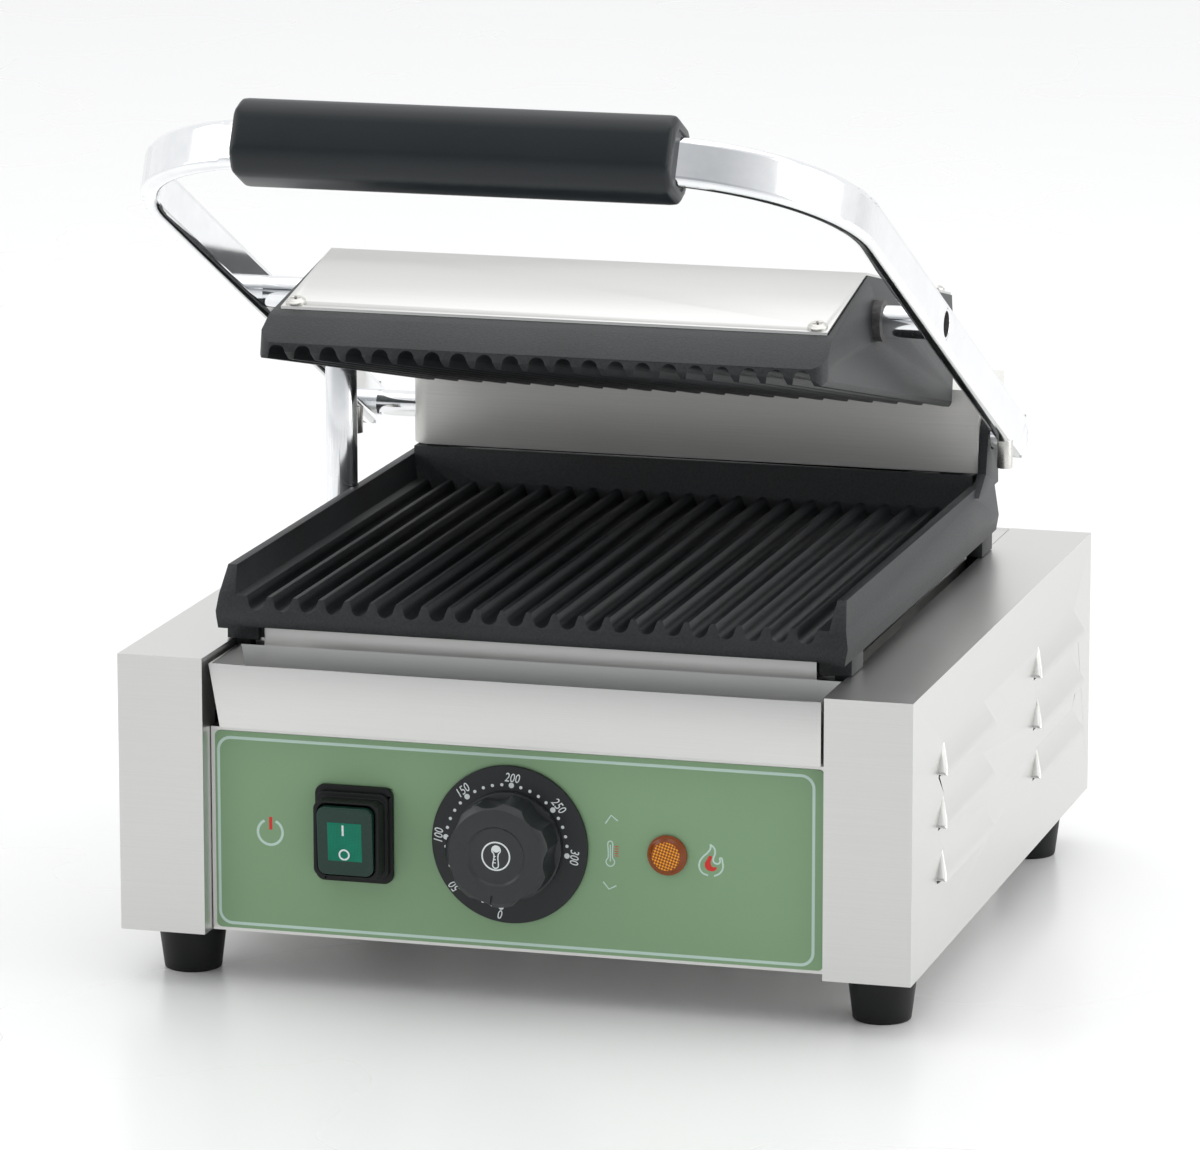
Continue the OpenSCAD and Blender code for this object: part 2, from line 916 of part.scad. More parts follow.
module upper_cover() {
    w = upper_x - cover_inset - 1;
    a0 = slope_a + 3;
    a1 = upper_d - 4;
    b0 = upper_h - (ridge_a - a0) * tan(slope_angle);
    t = cover_t;
    color("gainsboro")
        in_plate_frame()
            difference() {
                along_x(2 * w)
                    polygon([[a0, b0], [ridge_a, upper_h], [a1 + 1.5, upper_h],
                        [a1 + 1.5, upper_h + t], [ridge_a, upper_h + t], [a0, b0 + t]]);
                at_cover_screws()
                    translate([0, 0, -3])
                        cylinder(h = 6, r = screw_r + 0.1);
            }
}

screw_a = 19;

module at_cover_screws() {
    for (s = [-1, 1]) {
        translate([s * (upper_x - 8), screw_a, upper_h - (ridge_a - screw_a) * tan(slope_angle) + cover_t])
            rotate([slope_angle, 0, 0])
                children();
        translate([s * (upper_x - 8), upper_d - 10, upper_h + cover_t])
            children();
    }
}

module cover_screws() {
    color("silver")
        in_plate_frame()
            at_cover_screws()
                difference() {
                    union() {
                        translate([0, 0, -6])
                            cylinder(h = 6.1, r = screw_r - 0.02);
                        cylinder(h = 1, r = 3.6);
                        translate([0, 0, 0.99])
                            cylinder(h = 1, r1 = 3.6, r2 = 2.4);
                    }
                    for (turn = [20, 110])
                        translate([0, 0, 1.6])
                            rotate([0, 0, turn])
                                cube([3.6, 0.8, 1.6], center = true);
                }
}

module pivot_bushes() {
    color("darkgoldenrod")
        both_sides()
            translate([upper_x - upper_wall / 2 + 0.6, pivot_y, pivot_z])
                difference() {
                    rod_x(pivot_bush_r, upper_wall + 1.2);
                    rod_x(pin_r + 0.05, 20);
                }
}

module upper_element() {
    color("slategray")
        in_plate_frame()
            translate([0, 0, upper_floor + element_r + 0.2])
                element(upper_x - 24, slope_a + 12, upper_d - 16, element_r);
}

module upper_element_clamps() {
    color("silver")
        in_plate_frame()
            translate([0, 0, 2 * upper_floor + 2 * element_r + 0.4])
                mirror([0, 0, 1])
                    clamps(upper_x - 14, [60, upper_d - 60], upper_floor + element_r + 0.2, element_r);
}

module upper_insulation() {
    b0 = upper_floor + 2 * element_r + 3;
    color("lightyellow")
        in_plate_frame()
            translate([0, (ridge_a + upper_d) / 2 + 2, (b0 + upper_h - 1.5) / 2])
                cube([2 * (upper_x - 16), upper_d - ridge_a - 22, upper_h - 1.5 - b0], center = true);
}

lead_a = 140;
lead_r = 5;

module upper_lead_gland() {
    color("silver")
        in_plate_frame()
            translate([-upper_x, lead_a, pivot_b])
                difference() {
                    union() {
                        translate([4, 0, 0])
                            rod_x(lead_r, 14);
                        translate([-2.4, 0, 0])
                            rotate([0, 90, 0])
                                cylinder(h = 5, r = 7, $fn = 6, center = true);
                    }
                    rod_x(3.4, 40);
                }
}

// Thermostat -----------------------------------------------------------------
module thermostat_body() {
    y = panel_y + sheet + 0.2;
    color("whitesmoke")
        translate([dial_x, y, control_z])
            difference() {
                union() {
                    translate([-17, 0, -17])
                        cube([34, 22, 34]);
                    translate([0, 22, 0])
                        rod_y(9, 5);
                }
                translate([0, -1, 0])
                    rod_y(shaft_r + 0.1, 12);
            }
}

bulb_x = 60;
bulb_y = rear_wall_y - 100;
bulb_z = slab_z + 3.4;
bulb_r = 1.6;

module thermostat_bulb() {
    color("peru")
        translate([bulb_x, bulb_y + 1, bulb_z])
            rod_y(bulb_r, 80);
}

module dial_ring() {
    y = panel_y - label_t - dial_t - 0.05;
    color("black")
        translate([dial_x, y, control_z])
            difference() {
                rod_y(dial_r, dial_t);
                translate([0, -1, 0])
                    rod_y(shaft_r + 1, dial_t + 2);
            }
}

knob_y = panel_y - label_t - dial_t - 0.4;
pointer_angle = 185;

// The front of the knob faces +Z here, with its pointer towards +Y
module knob_solid() {
    flutes = 7;
    difference() {
        union() {
            cylinder(h = 2.4, r = knob_r + 0.7);
            cylinder(h = knob_h - 2, r = knob_r);
            translate([0, 0, knob_h - 2])
                cylinder(h = 2, r1 = knob_r, r2 = knob_r - 2);
        }
        for (i = [0:flutes - 1])
            rotate([0, 0, (i + 0.5) * 360 / flutes])
                translate([knob_r + 10.4, 0, 2.4])
                    cylinder(h = knob_h, r = 12);
        // Shallow dish round the middle
        translate([0, 0, knob_h - 0.8])
            cylinder(h = 2, r1 = knob_r * 0.53, r2 = knob_r * 0.53 + 2);
        translate([0, 0, -1])
            cylinder(h = 12, r = shaft_r);
        translate([0, knob_r - 2.6, knob_h])
            cube([0.9, 4, 2], center = true);
    }
}

module thermostat_knob() {
    color("black")
        translate([dial_x, knob_y, control_z])
            rotate([90, 0, 0])
                rotate([0, 0, -pointer_angle])
                    knob_solid();
}

module thermostat_shaft() {
    color("silver")
        translate([dial_x, knob_y - 10.5, control_z])
            rod_y(shaft_r - 0.02, 10.5 + panel_y - knob_y + sheet + 8);
}

// Switch and lamp --------------------------------------------------------------
bezel_y = panel_y - label_t;
boot_w = switch_w - 4.4;
boot_h = switch_h - 7.6;
cap_w = boot_w - 3.8;
cap_h = boot_h - 2.6;
boot_front = bezel_y - switch_out + 1.6;
rock_y = boot_front + 3;
rock_tilt = 3.5;

module switch_bezel() {
    color("black")
        translate([switch_x, 0, control_z])
            difference() {
                union() {
                    along_y(bezel_y - 2.2, 2.2)
                        rounded_rect(switch_w, switch_h, 3.4);
                    along_y(bezel_y - 0.2, 4)
                        square([switch_w - 5.6, switch_h - 6.6], center = true);
                }
                along_y(bezel_y - 3, 10)
                    square([cap_w - 3, cap_h - 3.4], center = true);
            }
}

module switch_body() {
    color("darkslategray")
        translate([switch_x, panel_y + 5.4, control_z])
            difference() {
                translate([-11, 0, -13])
                    cube([22, 20, 26]);
                translate([-8, -1, -11])
                    cube([16, 7, 22]);
            }
}

// Stepped rubber sleeve between the bezel and the cap
module switch_boot() {
    color("black")
        translate([switch_x, 0, control_z])
            difference() {
                union() {
                    along_y(bezel_y - 4.4, 2.2)
                        rounded_rect(switch_w - 2.2, switch_h - 3.8, 3);
                    along_y(boot_front, bezel_y - 4.3 - boot_front)
                        rounded_rect(boot_w, boot_h, 3);
                }
                along_y(boot_front - 1, 3.6)
                    rounded_rect(cap_w + 2 * gap, cap_h + 0.9, 3.2);
                along_y(boot_front - 1, 20)
                    square([cap_w - 3, cap_h - 3.4], center = true);
            }
}

module rocking() {
    translate([switch_x, rock_y, control_z])
        rotate([rock_tilt, 0, 0])
            children();
}

// Green cap that covers the rocker and moves with it
module switch_cap() {
    color("darkgreen")
        rocking()
            difference() {
                along_y(-4.6, 3.4)
                    rounded_rect(cap_w, cap_h, 3);
                along_y(-4.1, 3.4)
                    square([cap_w - 8, cap_h - 11], center = true);
            }
}

module switch_rocker() {
    color("mediumseagreen")
        rocking() {
            along_y(-4.05, bezel_y - rock_y + 4.05)
                square([cap_w - 8.2, cap_h - 11.2], center = true);
            translate([0, bezel_y - rock_y, 0])
                along_y(-0.1, 5.6)
                    square([cap_w - 8.2, 6], center = true);
        }
}

module pilot_lamp_lens() {
    y = bezel_y - 0.1;
    color("orange")
        translate([lamp_x, y, control_z])
            rotate([90, 0, 0]) {
                cylinder(h = 1.2, r = lamp_r);
                translate([0, 0, 1.19])
                    cylinder(h = 1.4, r1 = lamp_r - 0.6, r2 = lamp_r - 2);
                translate([0, 0, -4])
                    cylinder(h = 4.1, r = lamp_r - 1);
            }
}

module pilot_lamp_body() {
    color("black")
        translate([lamp_x, panel_y + sheet + 0.1, control_z]) {
            difference() {
                rod_y(lamp_r + 1.6, 3);
                translate([0, -1, 0])
                    rod_y(lamp_r - 0.9, 5);
            }
            translate([0, 2.9, 0])
                rod_y(lamp_r + 0.4, 14);
        }
}

// Wiring ---------------------------------------------------------------------
gland_x = 78;
gland_z = case_z + 28;
gland_r = cord_r + 3.8;

module cable_gland() {
    color("black")
        translate([gland_x, half_d - sheet, gland_z])
            difference() {
                union() {
                    translate([0, -gland_out - 1, 0])
                        rod_y(gland_r, 2 * gland_out + 1 + sheet);
                    rotate([-90, 0, 0])
                        translate([0, 0, sheet + 0.1])
                            cylinder(h = 6, r = gland_r + 4, $fn = 6);
                    rotate([90, 0, 0])
                        translate([0, 0, 0.1])
                            cylinder(h = 4, r = gland_r + 3, $fn = 6);
                }
                translate([0, -gland_out - 2, 0])
                    rod_y(cord_r, 2 * gland_out + 10);
            }
}

module terminal_block() {
    ways = 5;
    way = 10;
    color("ivory")
        translate([gland_x - 76, half_d - 44, case_z + sheet])
            difference() {
                cube([ways * way, 20, 15]);
                for (i = [0:ways - 1])
                    translate([(i + 0.5) * way, 10, 8])
                        cylinder(h = 8, r = 2.6);
            }
}

module conduit_riser() {
    z0 = case_top - 12;
    color("gainsboro")
        translate([riser_x, riser_y, z0])
            difference() {
                cylinder(h = riser_top - z0, r = riser_r);
                translate([0, 0, -1])
                    cylinder(h = riser_top - z0 + 2, r = riser_r - 1);
            }
}

module riser_nut() {
    color("silver")
        translate([riser_x, riser_y, case_top - sheet - 5.1])
            difference() {
                cylinder(h = 5, r = riser_nut_r, $fn = 6);
                translate([0, 0, -1])
                    cylinder(h = 7, r = riser_r + 0.02);
            }
}

module riser_gland() {
    color("dimgray")
        translate([riser_x, riser_y, riser_top])
            difference() {
                union() {
                    translate([0, 0, -6])
                        cylinder(h = 6.5, r = riser_r - 1.02);
                    translate([0, 0, 0.05])
                        cylinder(h = 3, r = riser_r);
                }
                translate([0, 0, -7])
                    cylinder(h = 12, r = riser_r - 2.6);
            }
}

on_floor() base_pan();
on_floor() left_side_casing();
on_floor() right_side_casing();
on_floor() front_panel();
on_floor() panel_label();
on_floor() rear_panel();
on_floor() tray_rails();
on_floor() drip_tray();
on_floor() heat_shield();
on_floor() rubber_feet();
on_floor() foot_screws();
on_floor() lower_grill_plate();
on_floor() plate_bolts();
on_floor() lower_element();
on_floor() lower_element_clamps();
on_floor() splash_guard();
on_floor() axle_bushes();
on_floor() counterbalance_springs();
on_floor() thermostat_body();
on_floor() thermostat_bulb();
on_floor() dial_ring();
on_floor() switch_bezel();
on_floor() switch_body();
on_floor() pilot_lamp_lens();
on_floor() pilot_lamp_body();
on_floor() terminal_block();
on_floor() cable_gland();
on_floor() conduit_riser();
on_floor() riser_nut();
on_floor() riser_gland();
on_floor() hinge_axle();
on_floor() handle_bar();
on_floor() handle_grip();
on_floor() pivot_pins();
on_floor() arm_stop_bolts();
on_floor() spring_collars();
on_floor() upper_grill_plate();
on_floor() pivot_bushes();
on_floor() upper_element();
on_floor() upper_element_clamps();
on_floor() upper_insulation();
on_floor() upper_cover();
on_floor() cover_screws();
on_floor() upper_lead_gland();
on_floor() thermostat_knob();
on_floor() thermostat_shaft();
on_floor() switch_boot();
on_floor() switch_cap();
on_floor() switch_rocker();
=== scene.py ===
"""Contact grill: finished edges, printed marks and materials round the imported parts."""

import json
import math

import bmesh
import bpy
from bpy.props import FloatProperty, FloatVectorProperty, IntProperty, PointerProperty
from mathutils import Matrix, Vector

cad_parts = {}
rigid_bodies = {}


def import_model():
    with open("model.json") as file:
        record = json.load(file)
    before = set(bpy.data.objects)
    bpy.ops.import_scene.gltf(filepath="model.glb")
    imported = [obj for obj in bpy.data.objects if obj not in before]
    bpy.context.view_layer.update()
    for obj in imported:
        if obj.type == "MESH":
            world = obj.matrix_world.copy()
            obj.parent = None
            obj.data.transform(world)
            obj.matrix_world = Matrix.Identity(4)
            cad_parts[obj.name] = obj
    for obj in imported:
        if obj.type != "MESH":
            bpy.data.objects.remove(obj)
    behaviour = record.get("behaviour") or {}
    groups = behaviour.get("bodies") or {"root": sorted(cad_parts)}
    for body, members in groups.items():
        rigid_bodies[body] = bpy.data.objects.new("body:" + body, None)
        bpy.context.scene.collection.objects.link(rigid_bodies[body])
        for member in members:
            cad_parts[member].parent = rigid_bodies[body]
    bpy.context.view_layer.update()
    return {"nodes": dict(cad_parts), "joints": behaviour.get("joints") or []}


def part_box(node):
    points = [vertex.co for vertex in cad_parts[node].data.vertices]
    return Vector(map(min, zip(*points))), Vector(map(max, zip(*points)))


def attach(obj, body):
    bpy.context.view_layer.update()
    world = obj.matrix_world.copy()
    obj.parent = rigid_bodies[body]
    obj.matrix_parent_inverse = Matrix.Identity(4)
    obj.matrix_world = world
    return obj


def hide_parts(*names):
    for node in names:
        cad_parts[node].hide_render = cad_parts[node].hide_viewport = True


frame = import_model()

bl_info = {
    "name": "Contact Grill",
    "version": (1, 0, 0),
    "blender": (4, 5, 0),
    "location": "View3D > Sidebar > Grill",
    "description": "Builds the finish, the printed marks and the stage of a contact grill",
    "category": "Object",
}

MM = 0.001


def middle_of(node):
    low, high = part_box(node)
    return (low + high) / 2


def joint_place(name):
    return Vector(next(j["pos_m"] for j in frame["joints"] if j["name"] == name))


# Selection and edit-mode helpers ---------------------------------------------
def clear():
    if bpy.context.object and bpy.context.object.mode != "OBJECT":
        bpy.ops.object.mode_set(mode="OBJECT")
    bpy.ops.object.select_all(action="DESELECT")


def activate(piece):
    clear()
    piece.select_set(True)
    bpy.context.view_layer.objects.active = piece


def edit(piece):
    activate(piece)
    bpy.ops.object.mode_set(mode="EDIT")


def leave():
    bpy.ops.object.mode_set(mode="OBJECT")


def pick(piece, kind, test):
    """In edit mode, selects the edges or faces that pass the test and returns how many did."""
    bpy.ops.mesh.select_mode(type=kind)
    bpy.ops.mesh.select_all(action="DESELECT")
    shape = bmesh.from_edit_mesh(piece.data)
    parts = shape.edges if kind == "EDGE" else shape.faces
    found = [part for part in parts if test(part)]
    for part in found:
        part.select_set(True)
    bmesh.update_edit_mesh(piece.data)
    return len(found)


def edge_along(edge):
    return (edge.verts[1].co - edge.verts[0].co).normalized()


def named(name):
    piece = bpy.context.object
    piece.name = name
    piece.data.name = name
    return piece


def settle(piece):
    """Puts the piece's place, turn and size into its mesh."""
    activate(piece)
    bpy.ops.object.transform_apply(location=True, rotation=True, scale=True)
    return piece


def smooth(piece, angle=35):
    activate(piece)
    bpy.ops.object.shade_smooth_by_angle(angle=math.radians(angle))
    return piece


def apply_modifier(piece, kind, **settings):
    activate(piece)
    modifier = piece.modifiers.new(kind.title(), kind)
    for key, value in settings.items():
        setattr(modifier, key, value)
    bpy.ops.object.modifier_apply(modifier=modifier.name)
    return piece


def soften(piece, width, segments=2, angle=32, smooth_angle=38):
    """Rounds every edge sharper than the angle."""
    apply_modifier(
        piece,
        "BEVEL",
        width=width * MM,
        segments=segments,
        limit_method="ANGLE",
        angle_limit=math.radians(angle),
        use_clamp_overlap=True,
        miter_outer="MITER_ARC",
    )
    return smooth(piece, smooth_angle)


def copy_of(node, name):
    """A copy of a CAD node, with its loose triangles joined and its flat faces made whole."""
    activate(frame["nodes"][node])
    bpy.ops.object.duplicate()
    piece = named(name)
    bpy.ops.object.parent_clear(type="CLEAR_KEEP_TRANSFORM")
    for key in [key for key in piece.keys() if key.startswith("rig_")]:
        del piece[key]
    bpy.ops.mesh.customdata_custom_splitnormals_clear()
    edit(piece)
    bpy.ops.mesh.select_all(action="SELECT")
    bpy.ops.mesh.remove_doubles(threshold=0.002 * MM)
    bpy.ops.mesh.dissolve_limited(angle_limit=math.radians(0.5))
    leave()
    return piece


def joined(name, pieces):
    clear()
    for piece in pieces:
        piece.select_set(True)
    bpy.context.view_layer.objects.active = pieces[0]
    bpy.ops.object.join()
    return named(name)


def seat(piece, body, material, replaces=()):
    """Gives the finished piece its material, its body and the CAD nodes that it stands for."""
    piece.data.materials.clear()
    piece.data.materials.append(material)
    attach(piece, body)
    if replaces:
        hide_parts(*replaces)
    return piece


def dress(node, material):
    """Gives a CAD node that is shown as it is a material."""
    piece = frame["nodes"][node]
    if not piece.material_slots:
        piece.data.materials.append(material)
    for slot in piece.material_slots:
        slot.material = material


# Node groups for the effects that several materials share ----------------------
def new_group(name, inputs, outputs):
    group = bpy.data.node_groups.new(name, "ShaderNodeTree")
    for label, kind, value in inputs:
        socket = group.interface.new_socket(label, in_out="INPUT", socket_type=kind)
        socket.default_value = value
    for label, kind in outputs:
        group.interface.new_socket(label, in_out="OUTPUT", socket_type=kind)
    group.nodes.new("NodeGroupInput")
    group.nodes.new("NodeGroupOutput")
    return group


def ends(group):
    nodes = group.nodes
    return nodes["Group Input"], nodes["Group Output"]


def noise(tree, coordinates, scale, detail=3.0, roughness=0.5):
    node = tree.nodes.new("ShaderNodeTexNoise")
    node.inputs["Detail"].default_value = detail
    node.inputs["Roughness"].default_value = roughness
    if isinstance(scale, (int, float)):
        node.inputs["Scale"].default_value = scale
    else:
        tree.links.new(scale, node.inputs["Scale"])
    tree.links.new(coordinates, node.inputs["Vector"])
    return node.outputs["Fac"]


def stretched(tree, coordinates, scale):
    node = tree.nodes.new("ShaderNodeMapping")
    node.inputs["Scale"].default_value = scale
    tree.links.new(coordinates, node.inputs["Vector"])
    return node.outputs["Vector"]


def maths(tree, operation, first, second=None, clamp=False):
    node = tree.nodes.new("ShaderNodeMath")
    node.operation = operation
    node.use_clamp = clamp
    for socket, value in zip(node.inputs, (first, second)):
        if value is None:
            continue
        if isinstance(value, (int, float)):
            socket.default_value = value
        else:
            tree.links.new(value, socket)
    return node.outputs[0]


def ranged(tree, value, low, high, to_low, to_high):
    node = tree.nodes.new("ShaderNodeMapRange")
    node.inputs["From Min"].default_value = low
    node.inputs["From Max"].default_value = high
    for label, bound in (("To Min", to_low), ("To Max", to_high)):
        if isinstance(bound, (int, float)):
            node.inputs[label].default_value = bound
        else:
            tree.links.new(bound, node.inputs[label])
    tree.links.new(value, node.inputs["Value"])
    return node.outputs["Result"]


def mixed(tree, factor, first, second, blend="MIX"):
    node = tree.nodes.new("ShaderNodeMix")
    node.data_type = "RGBA"
    node.blend_type = blend
    for label, value in (("A", first), ("B", second)):
        socket = [s for s in node.inputs if s.name == label and s.type == "RGBA"][0]
        if isinstance(value, tuple):
            socket.default_value = value
        else:
            tree.links.new(value, socket)
    socket = node.inputs[0]
    if isinstance(factor, (int, float)):
        socket.default_value = factor
    else:
        tree.links.new(factor, socket)
    return [s for s in node.outputs if s.type == "RGBA"][0]


def brushed_group():
    """Fine strokes along X, or along Y where the sheet faces sideways, with a slow change of tone."""
    group = new_group(
        "Brushed sheet",
        [
            ("Color", "NodeSocketColor", (0.8, 0.8, 0.8, 1)),
            ("Contrast", "NodeSocketFloat", 0.1),
            ("Roughness", "NodeSocketFloat", 0.3),
        ],
        [
            ("Color", "NodeSocketColor"),
            ("Roughness", "NodeSocketFloat"),
            ("Height", "NodeSocketFloat"),
        ],
    )
    start, end = ends(group)
    place = group.nodes.new("ShaderNodeTexCoord")
    point, facing = place.outputs["Object"], place.outputs["Normal"]
    across = noise(group, stretched(group, point, (25, 5200, 5200)), 1.0, 2.0)
    along = noise(group, stretched(group, point, (5200, 25, 5200)), 1.0, 2.0)
    split = group.nodes.new("ShaderNodeSeparateXYZ")
    group.links.new(facing, split.inputs[0])
    sideways = maths(
        group,
        "GREATER_THAN",
        maths(group, "ABSOLUTE", split.outputs["X"]),
        0.7,
    )
    blend = group.nodes.new("ShaderNodeMix")
    group.links.new(sideways, blend.inputs[0])
    group.links.new(across, blend.inputs[2])
    group.links.new(along, blend.inputs[3])
    strokes = blend.outputs[0]
    slow = noise(group, point, 9.0, 2.0)
    tone = maths(
        group, "ADD", maths(group, "MULTIPLY", strokes, 0.75), maths(group, "MULTIPLY", slow, 0.25)
    )
    shade = maths(
        group,
        "ADD",
        maths(group, "MULTIPLY", maths(group, "SUBTRACT", tone, 0.5), start.outputs["Contrast"]),
        1.0,
    )
    tint = group.nodes.new("ShaderNodeVectorMath")
    tint.operation = "SCALE"
    group.links.new(start.outputs["Color"], tint.inputs[0])
    group.links.new(shade, tint.inputs["Scale"])
    group.links.new(tint.outputs[0], end.inputs["Color"])
    rough = maths(
        group,
        "MULTIPLY",
        start.outputs["Roughness"],
        ranged(group, tone, 0.3, 0.7, 0.86, 1.14),
    )
    group.links.new(rough, end.inputs["Roughness"])
    group.links.new(strokes, end.inputs["Height"])
    return group


def grain_group():
    """Pitted grain of a cast or moulded surface, with slow patches that are lighter and darker."""
    group = new_group(
        "Surface grain",
        [
            ("Dark", "NodeSocketColor", (0.02, 0.02, 0.02, 1)),
            ("Light", "NodeSocketColor", (0.05, 0.05, 0.05, 1)),
            ("Scale", "NodeSocketFloat", 2500.0),
            ("Patch Scale", "NodeSocketFloat", 30.0),
            ("Roughness", "NodeSocketFloat", 0.5),
            ("Roughness Spread", "NodeSocketFloat", 0.1),
        ],
        [
            ("Color", "NodeSocketColor"),
            ("Roughness", "NodeSocketFloat"),
            ("Height", "NodeSocketFloat"),
        ],
    )
    start, end = ends(group)
    point = group.nodes.new("ShaderNodeTexCoord").outputs["Object"]
    fine = noise(group, point, start.outputs["Scale"], 3.0, 0.6)
    patch = noise(group, point, start.outputs["Patch Scale"], 3.0, 0.55)
    mask = ranged(
        group,
        maths(group, "ADD", maths(group, "MULTIPLY", fine, 0.55), maths(group, "MULTIPLY", patch, 0.45)),
        0.35,
        0.65,
        0.0,
        1.0,
    )
    group.links.new(
        mixed(group, mask, start.outputs["Dark"], start.outputs["Light"]),
        end.inputs["Color"],
    )
    spread = maths(
        group,
        "MULTIPLY",
        maths(group, "SUBTRACT", patch, 0.5),
        start.outputs["Roughness Spread"],
    )
    group.links.new(
        maths(group, "ADD", start.outputs["Roughness"], maths(group, "MULTIPLY", spread, 2.0)),
        end.inputs["Roughness"],
    )
    group.links.new(fine, end.inputs["Height"])
    return group


def start_material(name):
    material = bpy.data.materials.new(name)
    material.use_nodes = True
    tree = material.node_tree
    return material, tree, tree.nodes["Principled BSDF"]


def use_group(tree, group, values):
    node = tree.nodes.new("ShaderNodeGroup")
    node.node_tree = group
    for label, value in values.items():
        node.inputs[label].default_value = value
    return node


def add_bump(tree, shader, height, strength, distance):
    bump = tree.nodes.new("ShaderNodeBump")
    bump.inputs["Strength"].default_value = strength
    bump.inputs["Distance"].default_value = distance * MM
    tree.links.new(height, bump.inputs["Height"])
    tree.links.new(bump.outputs["Normal"], shader.inputs["Normal"])


def set_constants(shader, constants):
    for label, value in constants.items():
        shader.inputs[label].default_value = value


def brushed_material(name, color, contrast, roughness, bump=0.04, metallic=1.0):
    material, tree, shader = start_material(name)
    finish = use_group(
        tree,
        GROUPS["brushed"],
        {"Color": (*color, 1), "Contrast": contrast, "Roughness": roughness},
    )
    tree.links.new(finish.outputs["Color"], shader.inputs["Base Color"])
    tree.links.new(finish.outputs["Roughness"], shader.inputs["Roughness"])
    set_constants(shader, {"Metallic": metallic})
    add_bump(tree, shader, finish.outputs["Height"], bump, 0.05)
    return material


def grained_material(
    name, dark, light, scale, roughness, spread=0.06, bump=0.2, depth=0.1, patch=30.0, **constants
):
    material, tree, shader = start_material(name)
    finish = use_group(
        tree,
        GROUPS["grain"],
        {
            "Dark": (*dark, 1),
            "Light": (*light, 1),
            "Scale": scale,
            "Patch Scale": patch,
            "Roughness": roughness,
            "Roughness Spread": spread,
        },
    )
    tree.links.new(finish.outputs["Color"], shader.inputs["Base Color"])
    tree.links.new(finish.outputs["Roughness"], shader.inputs["Roughness"])
    set_constants(shader, constants)
    add_bump(tree, shader, finish.outputs["Height"], bump, depth)
    return material


def sine_waves(tree, split, pitch):
    """Waves along X and along Z with the given pitch."""
    turns = 2 * math.pi / pitch
    return [
        maths(tree, "SINE", maths(tree, "MULTIPLY", split.outputs[axis], turns)) for axis in ("X", "Z")
    ]


def lens_material():
    """Amber lamp lens: a smooth rim round a grid of small prisms, with painted glints on the prisms and a
    painted glow.
    """
    material, tree, shader = start_material("Amber lens")
    place = tree.nodes.new("ShaderNodeTexCoord")
    centred = tree.nodes.new("ShaderNodeMapping")
    centre = middle_of("pilot_lamp_lens")
    centred.inputs["Location"].default_value = (-centre.x, 0, -centre.z)
    tree.links.new(place.outputs["Object"], centred.inputs["Vector"])
    turned = tree.nodes.new("ShaderNodeMapping")
    turned.inputs["Rotation"].default_value = (0, PRISM_TURN, 0)
    tree.links.new(centred.outputs["Vector"], turned.inputs["Vector"])
    split = tree.nodes.new("ShaderNodeSeparateXYZ")
    tree.links.new(turned.outputs["Vector"], split.inputs[0])
    waves = sine_waves(tree, split, PRISM_PITCH)
    prisms = maths(tree, "MULTIPLY", waves[0], waves[1])
    reach = maths(
        tree,
        "SQRT",
        maths(
            tree,
            "ADD",
            maths(tree, "POWER", split.outputs["X"], 2.0),
            maths(tree, "POWER", split.outputs["Z"], 2.0),
        ),
    )
    inside = maths(tree, "LESS_THAN", reach, PRISM_REACH)
    # Painted glints: the prism grid switches the amber between dark and bright, standing in for light caught
    # by the prisms.
    grid = ranged(tree, prisms, -0.35, 0.75, 0.0, 1.0)
    lit = mixed(tree, grid, (0.2, 0.045, 0.002, 1), (0.95, 0.36, 0.012, 1))
    color = mixed(tree, inside, (0.2, 0.042, 0.004, 1), lit)
    tree.links.new(color, shader.inputs["Base Color"])
    rough = noise(tree, place.outputs["Object"], 900.0)
    tree.links.new(ranged(tree, rough, 0.3, 0.7, 0.1, 0.2), shader.inputs["Roughness"])
    # The emission is a painted glow, not a lit lamp.
    tree.links.new(color, shader.inputs["Emission Color"])
    set_constants(
        shader,
        {
            "Coat Weight": 0.3,
            "Coat Roughness": 0.03,
            "Emission Strength": 0.2,
            "Specular IOR Level": 0.25,
        },
    )
    add_bump(tree, shader, maths(tree, "MULTIPLY", prisms, inside), 0.6, 0.5)
    return material


def window_material():
    """Green window of the switch, with the fine mesh of its diffuser and a painted glow."""
    material, tree, shader = start_material("Green window")
    place = tree.nodes.new("ShaderNodeTexCoord")
    split = tree.nodes.new("ShaderNodeSeparateXYZ")
    tree.links.new(place.outputs["Object"], split.inputs[0])
    waves = sine_waves(tree, split, MESH_PITCH)
    mesh = ranged(tree, maths(tree, "ADD", waves[0], waves[1]), -2.0, 2.0, 0.0, 1.0)
    patch = noise(tree, place.outputs["Object"], 160.0)
    mask = maths(tree, "MULTIPLY", mesh, ranged(tree, patch, 0.35, 0.65, 0.4, 1.0))
    color = mixed(tree, mask, (0.0, 0.12, 0.07, 1), (0.0, 0.21, 0.125, 1))
    tree.links.new(color, shader.inputs["Base Color"])
    # The emission is a painted glow standing in for light through the window; the switch is not lit.
    tree.links.new(color, shader.inputs["Emission Color"])
    set_constants(shader, {"Roughness": 0.35, "Emission Strength": 0.15, "Specular IOR Level": 0.25})
    add_bump(tree, shader, mesh, 0.15, 0.1)
    return material


def toned(color, share):
    return tuple(value * share for value in color)


